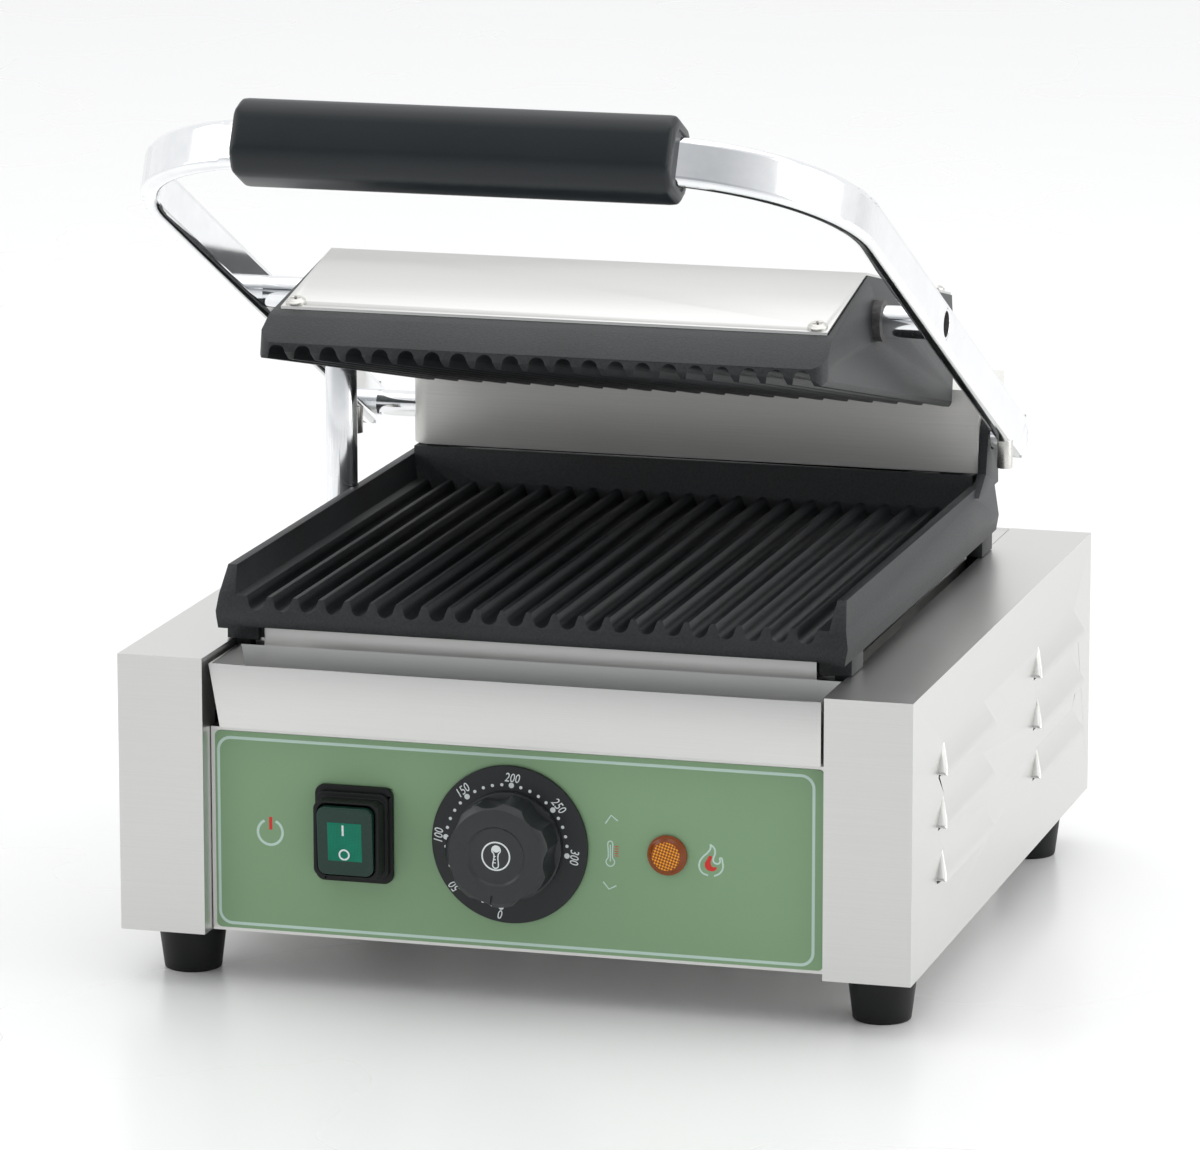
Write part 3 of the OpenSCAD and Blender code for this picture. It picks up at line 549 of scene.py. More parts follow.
def make_materials(looks):
    steel, iron = tuple(looks.steel), tuple(looks.iron)
    green, mint = tuple(looks.label), tuple(looks.mint)
    MATERIALS.update(
        {
            "steel": brushed_material("Brushed stainless", steel, 0.16, looks.steel_roughness),
            # Dull stainless for the splash guard: a rougher finish, and also a lighter, half-diffuse copy of
            # the stainless. That is painted light that brightens the guard in the shade between the plates.
            "steel_dull_lit": brushed_material("Dull stainless with painted light", (0.8, 0.79, 0.76), 0.34, 0.5, 0.1, 0.45),
            "plated": brushed_material("Plated steel", (0.66, 0.65, 0.62), 0.2, 0.28),
            "chrome": grained_material(
                "Polished chrome", (0.86, 0.875, 0.89), (0.93, 0.94, 0.95), 160.0, 0.1, 0.05, 0.015, 0.3,
                40.0, Metallic=1.0,
            ),
            "iron": grained_material(
                "Coated cast iron", toned(iron, 0.5), toned(iron, 1.9), 1250.0, 0.46, 0.07, 0.6, 0.3, 26.0,
            ),
            "grip": grained_material(
                "Grip plastic", (0.007, 0.0105, 0.0125), (0.011, 0.015, 0.018), 1800.0, 0.34, 0.05, 0.06,
                0.05, **{"Specular IOR Level": 0.36},
            ),
            "dial": grained_material(
                "Dial plastic", (0.011, 0.013, 0.014), (0.017, 0.019, 0.021), 2600.0, 0.42, 0.04, 0.08, 0.04,
                **{"Specular IOR Level": 0.4},
            ),
            "knob": grained_material(
                "Knob plastic", (0.014, 0.016, 0.018), (0.022, 0.025, 0.028), 2600.0, 0.3, 0.05, 0.05, 0.04,
            ),
            "rubber": grained_material(
                "Black rubber", (0.004, 0.0045, 0.005), (0.008, 0.0085, 0.009), 1500.0, 0.5, 0.08, 0.12, 0.06,
                **{"Specular IOR Level": 0.3},
            ),
            "label": grained_material(
                "Green overlay", toned(green, 0.96), toned(green, 1.05), 3200.0, 0.42, 0.03, 0.05, 0.03,
                12.0,
            ),
            "mint": grained_material(
                "Mint print", toned(mint, 0.97), mint, 2000.0, 0.5, 0.02, 0.02, 0.02,
            ),
            "white": grained_material(
                "White print", (0.72, 0.76, 0.77), (0.82, 0.86, 0.86), 2000.0, 0.5, 0.02, 0.02, 0.02,
            ),
            "red": grained_material(
                "Red print", (0.62, 0.02, 0.015), (0.72, 0.03, 0.02), 2000.0, 0.5, 0.02, 0.02, 0.02,
            ),
            "cap": grained_material(
                "Green rubber cap", (0.006, 0.03, 0.021), (0.009, 0.04, 0.028), 900.0, 0.3, 0.05, 0.04, 0.05,
                **{"Specular IOR Level": 0.4},
            ),
            "sheath": grained_material(
                "Heater sheath", (0.05, 0.052, 0.055), (0.16, 0.15, 0.15), 700.0, 0.5, 0.1, 0.1, 0.05,
                Metallic=0.8,
            ),
            "spring": grained_material(
                "Spring steel", (0.25, 0.25, 0.26), (0.42, 0.42, 0.43), 900.0, 0.35, 0.08, 0.05, 0.03,
                Metallic=1.0,
            ),
            "bronze": grained_material(
                "Sintered bronze", (0.36, 0.22, 0.09), (0.58, 0.4, 0.18), 2600.0, 0.42, 0.08, 0.15, 0.04,
                Metallic=1.0,
            ),
            "copper": grained_material(
                "Copper", (0.6, 0.28, 0.16), (0.8, 0.42, 0.27), 1200.0, 0.3, 0.08, 0.05, 0.03, Metallic=1.0,
            ),
            "ceramic": grained_material(
                "Pale moulding", (0.62, 0.59, 0.51), (0.72, 0.7, 0.62), 1400.0, 0.5, 0.06, 0.08, 0.05,
            ),
            "wool": grained_material(
                "Mineral wool", (0.42, 0.37, 0.24), (0.72, 0.67, 0.52), 900.0, 0.9, 0.05, 0.6, 0.6,
            ),
            "lens": lens_material(),
            "window": window_material(),
        }
    )


GROUPS = {}
MATERIALS = {}

# Lamp lens and switch window
PRISM_PITCH = 1.5 * MM
PRISM_TURN = math.radians(28)
PRISM_REACH = 5.1 * MM
MESH_PITCH = 0.55 * MM

# Solid pieces, in metres
# Radius round the pivot axis inside which the pins' bore faces are painted dark as shade
PIN_BORE_SHADE_REACH = 5.1 * MM
GRIP_ACROSS = 28 * MM
GRIP_FACET = 6.1 * MM
GRIP_END = 3.4 * MM
SPRING_WIRE = 1.1 * MM
SPRING_INNER = 7.0 * MM
SPRING_START = 48 * MM
WINDOW_WIDTH = 12.6 * MM
WINDOW_HEIGHT = 14.1 * MM
SWITCH_TILT = math.radians(3.5)

# Printed marks, in millimetres
OUTLINE_LEFT = -110.3
OUTLINE_RIGHT = 108.0
OUTLINE_FOOT = 1.7
OUTLINE_HEAD = 2.4
DIAL_PRINT_X = -1.1
DIAL_PRINT_Z = -0.6
NUMERAL_RING = 24.9
DOT_RING = 22.3
KNOB_RECESS = 0.8
WINDOW_FACE = -4.6

CAD_FINISH = {
    "steel": ("base_pan", "front_panel", "tray_rails", "heat_shield"),
    "label": ("panel_label",),
    "plated": (
        "foot_screws", "plate_bolts", "riser_nut", "lower_element_clamps", "upper_element_clamps",
        "thermostat_shaft", "upper_lead_gland",
    ),
    "chrome": ("handle_bar",),
    "bronze": ("axle_bushes",),
    "sheath": ("lower_element", "upper_element", "pivot_bushes"),
    "rubber": ("switch_body", "pilot_lamp_body", "cable_gland", "riser_gland"),
    "ceramic": ("thermostat_body", "terminal_block"),
    "copper": ("thermostat_bulb",),
    "wool": ("upper_insulation",),
    # The rocker takes the green window material, painted glow included.
    "window": ("switch_rocker",),
}

# CAD node, new name, finish, body, slot, width of the rounded edges in millimetres, segments
ROUNDED = (
    ("rear_panel", "rear_panel_sheet", "steel", "base", "stainless", 0.25, 2),
    ("drip_tray", "drip_tray_folded", "steel", "tray", "stainless", 0.28, 2),
    # The splash guard takes the dull stainless with its painted light.
    ("splash_guard", "splash_guard_sheet", "steel_dull_lit", "base", "stainless", 0.3, 2),
    ("lower_grill_plate", "lower_plate_cast", "iron", "base", "cast_iron", 0.4, 2),
    ("upper_grill_plate", "upper_plate_cast", "iron", "upper_plate", "cast_iron", 0.45, 2),
    ("upper_cover", "upper_cover_sheet", "steel", "upper_plate", "stainless", 0.3, 2),
    ("rubber_feet", "feet_moulded", "rubber", "base", "rubber_black", 0.7, 3),
    ("hinge_axle", "hinge_axle_turned", "chrome", "handle", "chrome", 0.5, 3),
    ("pivot_pins", "pivot_pins_turned", "chrome", "handle", "chrome", 0.4, 3),
    ("conduit_riser", "riser_tube", "chrome", "base", "chrome", 0.3, 2),
    ("arm_stop_bolts", "stop_bolts_turned", "plated", "handle", "steel_fasteners", 0.4, 3),
    ("spring_collars", "spring_collars_turned", "plated", "handle", "steel_fasteners", 0.4, 2),
    ("cover_screws", "cover_screws_pressed", "plated", "upper_plate", "steel_fasteners", 0.16, 2),
    ("dial_ring", "dial_ring_moulded", "dial", "base", "black_plastic", 0.4, 3),
    ("thermostat_knob", "knob_moulded", "knob", "knob", "black_plastic", 0.7, 3),
    ("switch_bezel", "switch_bezel_moulded", "rubber", "base", "black_plastic", 0.6, 3),
    ("switch_boot", "switch_boot_moulded", "rubber", "base", "black_plastic", 0.6, 3),
    ("switch_cap", "switch_cap_moulded", "cap", "rocker", "boot_green", 0.6, 3),
    ("pilot_lamp_lens", "lamp_lens_moulded", "lens", "base", "lamp_amber", 0.35, 3),
)


# Printed marks ---------------------------------------------------------------
def stroke(name, points, width, closed=False, straight=False, depth=0.06):
    """A printed line through points given in millimetres as (x, z), facing -Y."""
    clear()
    bpy.ops.curve.primitive_bezier_curve_add(radius=1.0, location=(0, 0, 0))
    line = named(name)
    spline = line.data.splines[0]
    spline.bezier_points.add(len(points) - 2)
    for point, (x, z) in zip(spline.bezier_points, points):
        point.co = (x * MM, 0, z * MM)
        kind = "VECTOR" if straight else "AUTO"
        point.handle_left_type = point.handle_right_type = kind
    spline.use_cyclic_u = closed
    line.data.resolution_u = 3 if straight else 10
    line.data.bevel_depth = width / 2 * MM
    line.data.bevel_resolution = 2
    line.data.use_fill_caps = True
    activate(line)
    bpy.ops.object.convert(target="MESH")
    line = named(name)
    line.scale.y = depth / width
    return smooth(settle(line), 60)


def patch(name, points, depth=0.05, straight=False):
    """A printed shape inside points given in millimetres as (x, z), facing -Y."""
    clear()
    bpy.ops.curve.primitive_bezier_curve_add(radius=1.0, location=(0, 0, 0))
    shape = named(name)
    shape.data.dimensions = "2D"
    shape.data.fill_mode = "BOTH"
    shape.data.extrude = depth / 2 * MM
    spline = shape.data.splines[0]
    spline.bezier_points.add(len(points) - 2)
    for point, (x, z) in zip(spline.bezier_points, points):
        point.co = (x * MM, z * MM, 0)
        kind = "VECTOR" if straight else "AUTO"
        point.handle_left_type = point.handle_right_type = kind
    spline.use_cyclic_u = True
    shape.data.resolution_u = 8
    activate(shape)
    bpy.ops.object.convert(target="MESH")
    shape = named(name)
    shape.rotation_euler.x = math.radians(90)
    return settle(shape)


def disc(name, x, z, radius, depth=0.05, sides=20):
    clear()
    bpy.ops.mesh.primitive_cylinder_add(
        vertices=sides, radius=radius * MM, depth=depth * MM, location=(x * MM, 0, z * MM),
        rotation=(math.radians(90), 0, 0),
    )
    piece = settle(named(name))
    edit(piece)
    pick(piece, "FACE", lambda face: face.normal.y < -0.9)
    bpy.ops.mesh.inset(thickness=depth * MM)
    bpy.ops.transform.translate(value=(0, -0.3 * depth * MM, 0))
    leave()
    return piece


def arc(cx, cz, radius, first, last, count):
    """Points on an arc, with angles in degrees clockwise from the top."""
    found = []
    for i in range(count):
        turn = math.radians(first + (last - first) * i / (count - 1))
        found.append((cx + radius * math.sin(turn), cz + radius * math.cos(turn)))
    return found


def numeral(name, text, radius, angle, size, narrow=0.8, slant=0.18):
    """A number on the dial, upright at the top and turned with its place on the circle."""
    clear()
    bpy.ops.object.text_add(location=(0, 0, 0))
    piece = named(name)
    piece.data.body = text
    piece.data.size = size * MM
    piece.data.shear = slant
    piece.data.align_x = "CENTER"
    piece.data.align_y = "CENTER"
    piece.data.extrude = 0.02 * MM
    piece.data.offset = 0.02 * MM
    piece.data.resolution_u = 3
    activate(piece)
    bpy.ops.object.convert(target="MESH")
    piece = named(name)
    piece.scale.x = narrow
    settle(piece)
    edit(piece)
    bpy.ops.mesh.select_all(action="SELECT")
    bpy.ops.transform.translate(value=(0, radius * MM, 0))
    leave()
    piece.rotation_euler = (math.radians(90), math.radians(angle), 0)
    return settle(piece)


def rounded_outline(x0, x1, z0, z1, radius):
    """Corner points of a rounded rectangle, in order, closed."""
    points = []
    for cx, cz, first in (
        (x1 - radius, z1 - radius, 0),
        (x1 - radius, z0 + radius, 90),
        (x0 + radius, z0 + radius, 180),
        (x0 + radius, z1 - radius, 270),
    ):
        points += arc(cx, cz, radius, first, first + 90, 7)
    return points


def shift(piece, x=0.0, y=0.0, z=0.0):
    piece.location = Vector((x, y, z)) * MM
    return settle(piece)


# Settings --------------------------------------------------------------------
class GrillLooks(bpy.types.PropertyGroup):
    steel: FloatVectorProperty(
        name="Stainless", description="Colour of the stainless sheets", subtype="COLOR", size=3,
        default=(0.69, 0.69, 0.672), min=0, max=1,
    )
    steel_roughness: FloatProperty(
        name="Stainless roughness", description="How dull the brushed sheets are",
        default=0.34, min=0.05, max=1, subtype="FACTOR",
    )
    iron: FloatVectorProperty(
        name="Cast iron", description="Colour of the coated castings", subtype="COLOR", size=3,
        default=(0.0135, 0.0155, 0.017), min=0, max=1,
    )
    label: FloatVectorProperty(
        name="Label", description="Colour of the label on the front panel", subtype="COLOR", size=3,
        default=(0.225, 0.372, 0.205), min=0, max=1,
    )
    mint: FloatVectorProperty(
        name="Outline", description="Colour of the label's printed lines", subtype="COLOR", size=3,
        default=(0.55, 0.72, 0.64), min=0, max=1,
    )


class GrillSizes(bpy.types.PropertyGroup):
    casing_edge: FloatProperty(
        name="Casing edge", description="Radius of the folded edges of the side casings",
        default=0.0006, min=0.0002, max=0.002, unit="LENGTH",
    )
    louvre_edge: FloatProperty(
        name="Louvre edge", description="Radius of the pressed edges of the louvres",
        default=0.0016, min=0.0002, max=0.003, unit="LENGTH",
    )
    outline_width: FloatProperty(
        name="Outline width", description="Width of the line round the label",
        default=0.0011, min=0.0003, max=0.003, unit="LENGTH",
    )
    numeral_height: FloatProperty(
        name="Numeral size", description="Type size of the numbers on the dial",
        default=0.0046, min=0.002, max=0.008, unit="LENGTH",
    )
    spring_turns: IntProperty(
        name="Spring turns", description="Turns of each counterbalance spring", default=10, min=4, max=14,
    )


# Operators -------------------------------------------------------------------
class GrillOperator:
    bl_options = {"REGISTER", "UNDO"}

    def execute(self, context):
        self.build(context.scene.grill_looks, context.scene.grill_sizes)
        return {"FINISHED"}


class GRILL_OT_materials(GrillOperator, bpy.types.Operator):
    """Make the node groups and the materials, and dress the CAD nodes that are shown as they are"""

    bl_idname = "grill.materials"
    bl_label = "Materials"

    def build(self, looks, sizes):
        GROUPS["brushed"] = brushed_group()
        GROUPS["grain"] = grain_group()
        make_materials(looks)
        for finish, nodes in CAD_FINISH.items():
            for node in nodes:
                dress(node, MATERIALS[finish])


class GRILL_OT_casings(GrillOperator, bpy.types.Operator):
    """Fold the side casings' edges and press their louvres round"""

    bl_idname = "grill.casings"
    bl_label = "Side casings"

    def build(self, looks, sizes):
        for side in ("left", "right"):
            piece = copy_of(f"{side}_side_casing", f"{side}_casing_folded")
            edit(piece)
            tip_x = max(abs(v.co.x) for v in piece.data.vertices)

            def on_louvre(edge):
                near, far = sorted(abs(v.co.x) for v in edge.verts)
                level = abs(edge.verts[0].co.z - edge.verts[1].co.z) < 0.05 * MM
                folded = any(face.normal.z > 0.1 for face in edge.link_faces)
                return far > tip_x - 1.5 * MM and (folded or not level) and len(edge.link_faces) == 2

            pick(piece, "EDGE", on_louvre)
            bpy.ops.mesh.bevel(offset=sizes.louvre_edge, segments=5, affect="EDGES", clamp_overlap=True)
            leave()
            soften(piece, sizes.casing_edge / MM, 3)
            seat(piece, "base", MATERIALS["steel"], [f"{side}_side_casing"])


class GRILL_OT_rounded(GrillOperator, bpy.types.Operator):
    """Round the edges of the castings, sheets, turned and moulded parts"""

    bl_idname = "grill.rounded"
    bl_label = "Rounded parts"

    def build(self, looks, sizes):
        for node, name, finish, body, slot, width, segments in ROUNDED:
            piece = soften(copy_of(node, name), width, segments)
            seat(piece, body, MATERIALS[finish], [node])
        # Painted shade: the faces inside the pin bores take the dark heater-sheath material as a second slot.
        pins = bpy.data.objects["pivot_pins_turned"]
        pins.data.materials.append(MATERIALS["sheath"])
        axis = joint_place("plate_pivot")
        for face in pins.data.polygons:
            reach = face.center - axis
            reach.x = 0
            if reach.length < PIN_BORE_SHADE_REACH and abs(face.normal.x) < 0.5:
                face.material_index = 1


class GRILL_OT_grip(GrillOperator, bpy.types.Operator):
    """Model the eight-sided grip with its chamfered ends"""

    bl_idname = "grill.grip"
    bl_label = "Grip"

    def build(self, looks, sizes):
        axle, pin = joint_place("handle_hinge"), joint_place("plate_pivot")
        slope = math.atan2(pin.z - axle.z, axle.y - pin.y)
        low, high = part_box("handle_grip")
        length = high.x - low.x
        clear()
        bpy.ops.mesh.primitive_cube_add(size=1, scale=(length, GRIP_ACROSS, GRIP_ACROSS))
        piece = settle(named("grip_moulded"))
        edit(piece)
        pick(piece, "EDGE", lambda e: abs(edge_along(e).x) > 0.9)
        bpy.ops.mesh.bevel(offset=GRIP_FACET, segments=1, affect="EDGES")
        pick(
            piece,
            "EDGE",
            lambda e: all(abs(abs(v.co.x) - length / 2) < 0.01 * MM for v in e.verts),
        )
        bpy.ops.mesh.bevel(offset=GRIP_END, segments=3, affect="EDGES", profile=0.55)
        pick(piece, "FACE", lambda f: abs(f.normal.x) > 0.99)
        bpy.ops.mesh.inset(thickness=1.4 * MM)
        bpy.ops.mesh.extrude_region_shrink_fatten(TRANSFORM_OT_shrink_fatten={"value": -0.8 * MM})
        leave()
        apply_modifier(
            piece, "BEVEL", width=1.6 * MM, segments=3, limit_method="ANGLE", angle_limit=math.radians(30),
            use_clamp_overlap=True,
        )
        piece.rotation_euler.x = -slope
        piece.location = middle_of("handle_grip")
        smooth(settle(piece), 30)
        seat(piece, "handle", MATERIALS["grip"], ["handle_grip"])


class GRILL_OT_springs(GrillOperator, bpy.types.Operator):
    """Wind the two counterbalance springs round the axle"""

    bl_idname = "grill.springs"
    bl_label = "Springs"

    def build(self, looks, sizes):
        axle = joint_place("handle_hinge")
        low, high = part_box("counterbalance_springs")
        wire, inner, first = SPRING_WIRE, SPRING_INNER, SPRING_START
        coil = high.x - first - wire
        for side in (-1, 1):
            clear()
            bpy.ops.mesh.primitive_circle_add(
                vertices=10, radius=wire, location=(0, inner, 0), rotation=(0, math.radians(90), 0)
            )
            ring = settle(named(f"spring_{side}"))
            edit(ring)
            bpy.ops.mesh.select_all(action="SELECT")
            bpy.ops.transform.rotate(
                value=math.radians(90), orient_axis="Z", center_override=(0, inner, 0)
            )
            leave()
            apply_modifier(
                ring, "SCREW", axis="X", angle=math.radians(360), iterations=sizes.spring_turns,
                screw_offset=coil / sizes.spring_turns, steps=28, render_steps=28, use_merge_vertices=True,
            )
            edit(ring)
            bpy.ops.mesh.select_all(action="SELECT")
            bpy.ops.mesh.remove_doubles(threshold=0.005 * MM)
            bpy.ops.mesh.normals_make_consistent(inside=False)
            leave()
            ring.location = (first, axle.y, axle.z)
            settle(ring)
            clear()
            top, foot = axle.z, low.z
            bpy.ops.mesh.primitive_cylinder_add(
                vertices=12, radius=wire, depth=top - foot,
                location=(first + coil, axle.y + inner, (top + foot) / 2),
            )
            leg = settle(named(f"spring_leg_{side}"))
            spring = joined(f"spring_{'left' if side < 0 else 'right'}", [ring, leg])
            if side < 0:
                edit(spring)
                bpy.ops.mesh.select_all(action="SELECT")
                bpy.ops.transform.resize(value=(-1, 1, 1), center_override=(0, 0, 0))
                bpy.ops.mesh.normals_make_consistent(inside=False)
                leave()
            smooth(spring, 50)
            seat(spring, "base", MATERIALS["spring"])
        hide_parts("counterbalance_springs")


class GRILL_OT_label(GrillOperator, bpy.types.Operator):
    """Print the outline and the symbols on the front panel's label"""

    bl_idname = "grill.label"
    bl_label = "Label print"

    def build(self, looks, sizes):
        low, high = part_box("panel_label")
        face = low.y / MM - 0.01
        z0, z1 = low.z / MM, high.z / MM
        line = sizes.outline_width / MM
        border = rounded_outline(
            OUTLINE_LEFT, OUTLINE_RIGHT, z0 + OUTLINE_FOOT, z1 - OUTLINE_HEAD, radius=4.6
        )
        marks = [
            stroke("outline", border, line, True, True),
            stroke("power_arc", arc(-91.2, 57.3, 4.6, 27, 333, 20), 0.95),
            stroke("chevron_up", [(32.7, 69.0), (34.8, 72.1), (37.2, 70.2)], 0.5, straight=True),
            stroke("chevron_down", [(31.9, 47.8), (34.0, 45.3), (36.7, 46.7)], 0.5, straight=True),
            stroke(
                "thermometer",
                arc(34.5, 61.8, 0.9, -90, 90, 7) + arc(34.5, 55.2, 1.55, 36, 324, 13),
                0.42, True,
            ),
            stroke("thermometer_column", [(34.5, 61.4), (34.5, 55.4)], 0.42, straight=True),
            stroke(
                "flame_left",
                [(70.0, 52.8), (68.0, 53.6), (66.9, 55.4), (66.9, 57.2), (68.0, 59.2), (70.0, 61.2),
                 (70.9, 62.8), (70.8, 64.1)],
                0.62,
            ),
            stroke(
                "flame_right",
                [(70.8, 64.1), (72.3, 62.6), (72.5, 60.8), (71.9, 59.0), (72.0, 57.9), (73.2, 57.2),
                 (74.3, 57.8), (74.5, 59.4), (75.3, 57.6), (75.3, 55.6), (74.2, 53.8), (72.2, 52.7)],
                0.62,
            ),
        ]
        reds = [
            stroke("power_bar", [(-91.0, 62.9), (-91.0, 58.2)], 1.2, straight=True),
            patch(
                "flame_core",
                [(71.1, 59.9), (69.4, 58.2), (68.8, 56.5), (69.5, 55.0), (71.0, 54.4), (72.6, 54.8),
                 (73.1, 55.8), (71.6, 56.0), (70.9, 57.2)],
            ),
        ]
        reds += [
            stroke(f"heat_tick_{i}", [(36.2, 60.9 - i * 0.85), (37.5, 60.9 - i * 0.85)], 0.3, straight=True)
            for i in range(5)
        ]
        for group, name, finish in ((marks, "label_lines", "mint"), (reds, "label_accents", "red")):
            for mark in group:
                shift(mark, y=face)
            seat(joined(name, group), "base", MATERIALS[finish])


class GRILL_OT_dial(GrillOperator, bpy.types.Operator):
    """Print the numbers and dots on the dial ring"""

    bl_idname = "grill.dial"
    bl_label = "Dial print"

    def build(self, looks, sizes):
        low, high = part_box("dial_ring")
        centre = (low + high) / 2
        x, z = centre.x / MM + DIAL_PRINT_X, centre.z / MM + DIAL_PRINT_Z
        face = low.y / MM - 0.015
        height = sizes.numeral_height / MM
        marks = []
        angles = [-175, -130, -85, -40, 5, 50, 95]
        for step, angle in enumerate(angles):
            marks.append(numeral(f"numeral_{step}", str(50 * step), NUMERAL_RING, angle, height))
            spots = [(angle, 1.0)]
            if step < 6:
                spots += [(angle + 9 * k, 0.6) for k in (1, 2, 3, 4)]
            for turn, radius in spots:
                px, pz = arc(0, 0, DOT_RING, turn, turn + 1, 2)[0]
                marks.append(disc(f"dot_{step}_{turn}", px, pz, radius, 0.05, 18))
        for mark in marks:
            shift(mark, x, face, z)
        seat(joined("dial_numbers", marks), "base", MATERIALS["white"])


class GRILL_OT_knob_mark(GrillOperator, bpy.types.Operator):
    """Print the ring and the thermometer on the knob's face"""

    bl_idname = "grill.knob_mark"
    bl_label = "Knob print"

    def build(self, looks, sizes):
        axis = joint_place("thermostat_turn")
        low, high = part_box("thermostat_knob")
        x, z, face = axis.x / MM, axis.z / MM, low.y / MM + KNOB_RECESS - 0.01
        marks = [
            stroke("knob_circle", arc(0, 0, 5.0, 0, 348.75, 32), 0.55, True),
            stroke(
                "knob_thermometer",
                arc(0.1, 2.2, 1.55, -145, 145, 11) + arc(-0.1, -3.3, 1.05, 80, 280, 7),
                0.42, True,
            ),
            patch("knob_bulb", arc(0.1, 2.2, 1.5, -80, 80, 9) + [(0.7, 1.5), (-0.5, 1.5)]),
        ]
        marks += [
            stroke(f"knob_tick_{i}", [(-0.9, -0.1 - 1.15 * i), (0.0, -0.1 - 1.15 * i)], 0.34, straight=True)
            for i in range(3)
        ]
        for mark in marks:
            shift(mark, x, face, z)
        seat(joined("knob_symbol", marks), "knob", MATERIALS["white"])


class GRILL_OT_switch(GrillOperator, bpy.types.Operator):
    """Set the green window, with its painted glow, and the on and off marks in the switch's cap"""

    bl_idname = "grill.switch"
    bl_label = "Switch window"

    def build(self, looks, sizes):
        pivot = joint_place("switch_rock")
        clear()
        bpy.ops.mesh.primitive_cube_add(size=1, scale=(WINDOW_WIDTH, 0.5 * MM, WINDOW_HEIGHT))
        window = settle(named("switch_window"))
        edit(window)
        pick(window, "FACE", lambda f: f.normal.y < -0.9)
        bpy.ops.mesh.inset(thickness=0.35 * MM)
        bpy.ops.transform.translate(value=(0, 0.12 * MM, 0))
        leave()
        soften(window, 0.1, 2)
        shift(window, 0, WINDOW_FACE + 0.1, 0)
        on_mark = stroke("mark_on", [(-0.6, 6.2), (-0.6, 2.3)], 0.72, straight=True)
        off_mark = stroke("mark_off", arc(-0.3, -4.7, 1.75, 0, 345, 24), 0.62, True)
        marks = joined(
            "switch_marks", [shift(mark, 0, WINDOW_FACE - 0.03, 0) for mark in (on_mark, off_mark)]
        )
        for piece, finish in ((window, "window"), (marks, "white")):
            piece.rotation_euler.x = SWITCH_TILT
            piece.location = pivot
            seat(settle(piece), "rocker", MATERIALS[finish])


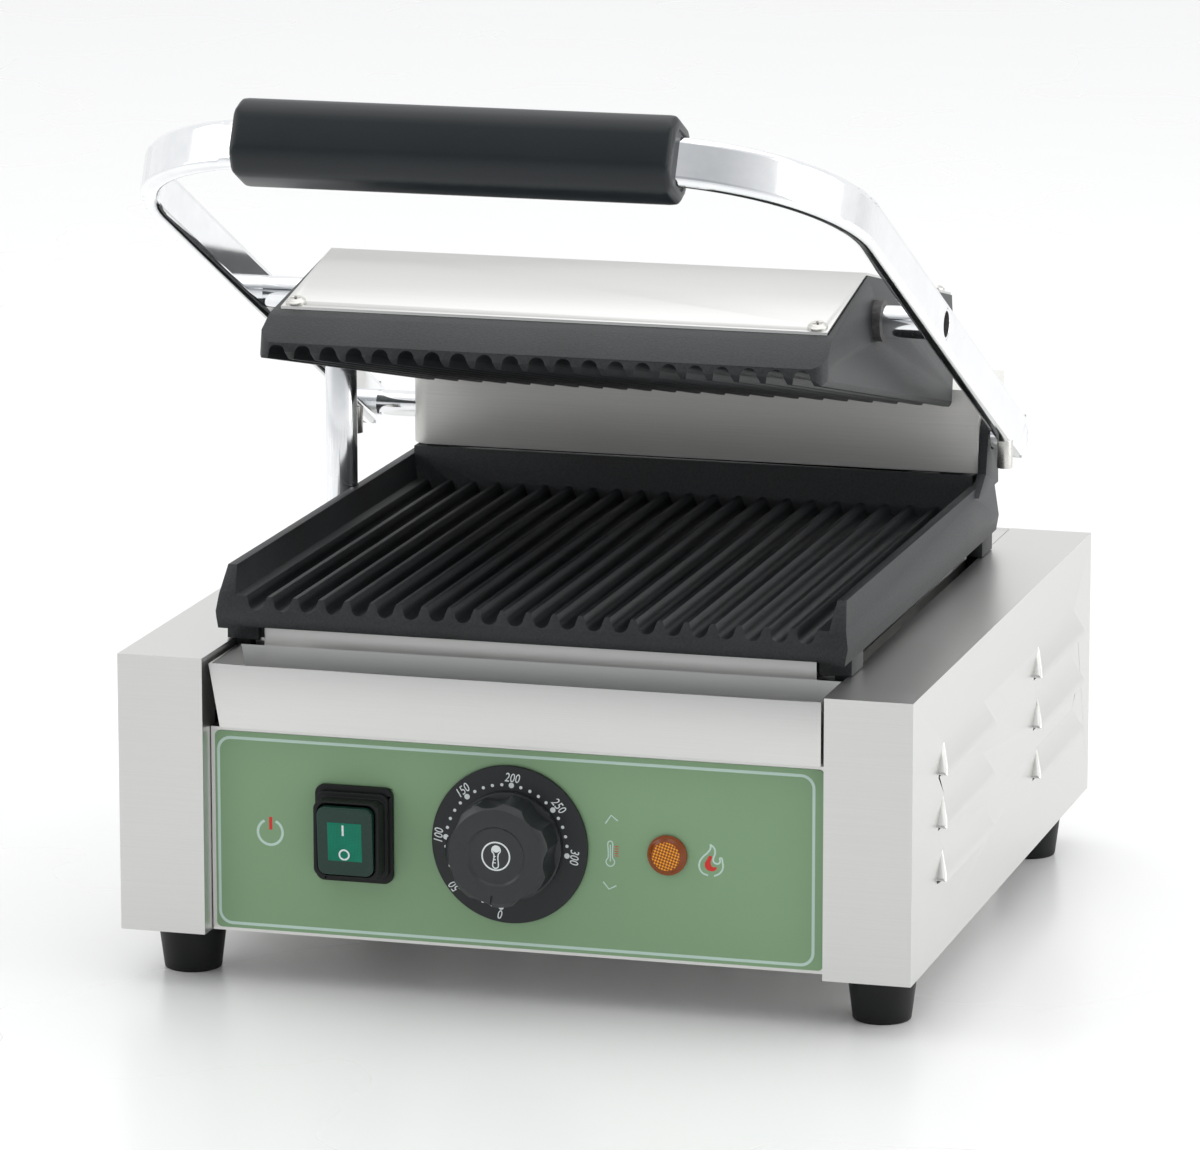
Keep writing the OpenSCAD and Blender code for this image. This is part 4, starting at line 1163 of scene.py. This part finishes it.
class GRILL_OT_stage(GrillOperator, bpy.types.Operator):
    """Lay the pale floor, hang the soft lights and place the camera"""

    bl_idname = "grill.stage"
    bl_label = "Stage"

    def build(self, looks, sizes):
        scene = bpy.context.scene
        clear()
        bpy.ops.mesh.primitive_plane_add(size=14, location=(0, 0, 0))
        floor = named("floor")
        material, tree, shader = start_material("Pale floor")
        point = tree.nodes.new("ShaderNodeTexCoord").outputs["Object"]
        tone = noise(tree, point, 3.0)
        tree.links.new(
            mixed(tree, tone, (0.93, 0.93, 0.93, 1), (0.96, 0.96, 0.955, 1)), shader.inputs["Base Color"]
        )
        tree.links.new(ranged(tree, tone, 0.3, 0.7, 0.24, 0.3), shader.inputs["Roughness"])
        floor.data.materials.append(material)

        world = bpy.data.worlds.new("Studio")
        world.use_nodes = True
        scene.world = world
        tree = world.node_tree
        background = tree.nodes["Background"]
        ray = tree.nodes.new("ShaderNodeTexCoord").outputs["Generated"]
        split = tree.nodes.new("ShaderNodeSeparateXYZ")
        tree.links.new(ray, split.inputs[0])
        front = ranged(tree, split.outputs["Y"], -0.15, -0.75, 0.0, 1.0)
        above = ranged(tree, split.outputs["Z"], -0.05, 0.25, 0.0, 1.0)
        high = ranged(tree, split.outputs["Z"], 0.62, 0.8, 1.0, 0.0)
        room = maths(tree, "MULTIPLY", maths(tree, "MULTIPLY", front, above), high)
        seen = tree.nodes.new("ShaderNodeLightPath").outputs["Is Camera Ray"]
        shade = mixed(tree, room, (0.96, 0.965, 0.97, 1), (0.4, 0.41, 0.43, 1))
        tree.links.new(mixed(tree, seen, shade, (1.0, 1.0, 1.0, 1)), background.inputs["Color"])
        background.inputs["Strength"].default_value = 1.0

        for name, place, size, power in (
            ("overhead", (0.1, 0.25, 2.1), 2.6, 14),
            ("left_side", (-1.7, -0.7, 1.1), 1.2, 5),
            ("right_side", (2.0, 0.2, 0.8), 1.4, 12),
        ):
            clear()
            bpy.ops.object.light_add(type="AREA", location=place)
            light = named(name)
            light.data.shape = "SQUARE"
            light.data.size = size
            light.data.energy = power
            aim = Vector((0, 0, 0.12)) - Vector(place)
            light.rotation_euler = aim.to_track_quat("-Z", "Y").to_euler()

        clear()
        bpy.ops.object.camera_add()
        camera = named("camera")
        right = Vector((0.9622251, 0.2722548, -0.0004228))
        up = Vector((-0.0571830, 0.2036187, 0.9773789))
        back = Vector((0.2661822, -0.9404343, 0.2114954))
        turn = Matrix((right, up, back)).transposed().to_4x4()
        camera.matrix_world = Matrix.Translation((0.66895, -2.36809, 0.66508)) @ turn
        camera.data.lens = 206.65
        camera.data.sensor_width = 36
        camera.data.clip_start, camera.data.clip_end = 0.05, 30
        scene.camera = camera
        scene.view_settings.view_transform = "Standard"


STEPS = (
    GRILL_OT_stage,
    GRILL_OT_materials,
    GRILL_OT_casings,
    GRILL_OT_rounded,
    GRILL_OT_grip,
    GRILL_OT_springs,
    GRILL_OT_label,
    GRILL_OT_dial,
    GRILL_OT_knob_mark,
    GRILL_OT_switch,
)


class GRILL_PT_panel(bpy.types.Panel):
    """Settings and steps of the contact grill"""

    bl_idname = "GRILL_PT_panel"
    bl_label = "Contact Grill"
    bl_space_type = "VIEW_3D"
    bl_region_type = "UI"
    bl_category = "Grill"

    def draw(self, context):
        layout = self.layout
        for settings in (context.scene.grill_looks, context.scene.grill_sizes):
            for key in settings.bl_rna.properties.keys():
                if key not in ("rna_type", "name"):
                    layout.prop(settings, key)
        for step in STEPS:
            layout.operator(step.bl_idname)


CLASSES = (GrillLooks, GrillSizes, *STEPS, GRILL_PT_panel)


def register():
    for item in CLASSES:
        bpy.utils.register_class(item)
    bpy.types.Scene.grill_looks = PointerProperty(type=GrillLooks)
    bpy.types.Scene.grill_sizes = PointerProperty(type=GrillSizes)


def unregister():
    del bpy.types.Scene.grill_sizes
    del bpy.types.Scene.grill_looks
    for item in reversed(CLASSES):
        bpy.utils.unregister_class(item)


def main():
    register()
    for step in STEPS:
        group, name = step.bl_idname.split(".")
        getattr(getattr(bpy.ops, group), name)()
    clear()


if __name__ == "__main__":
    main()
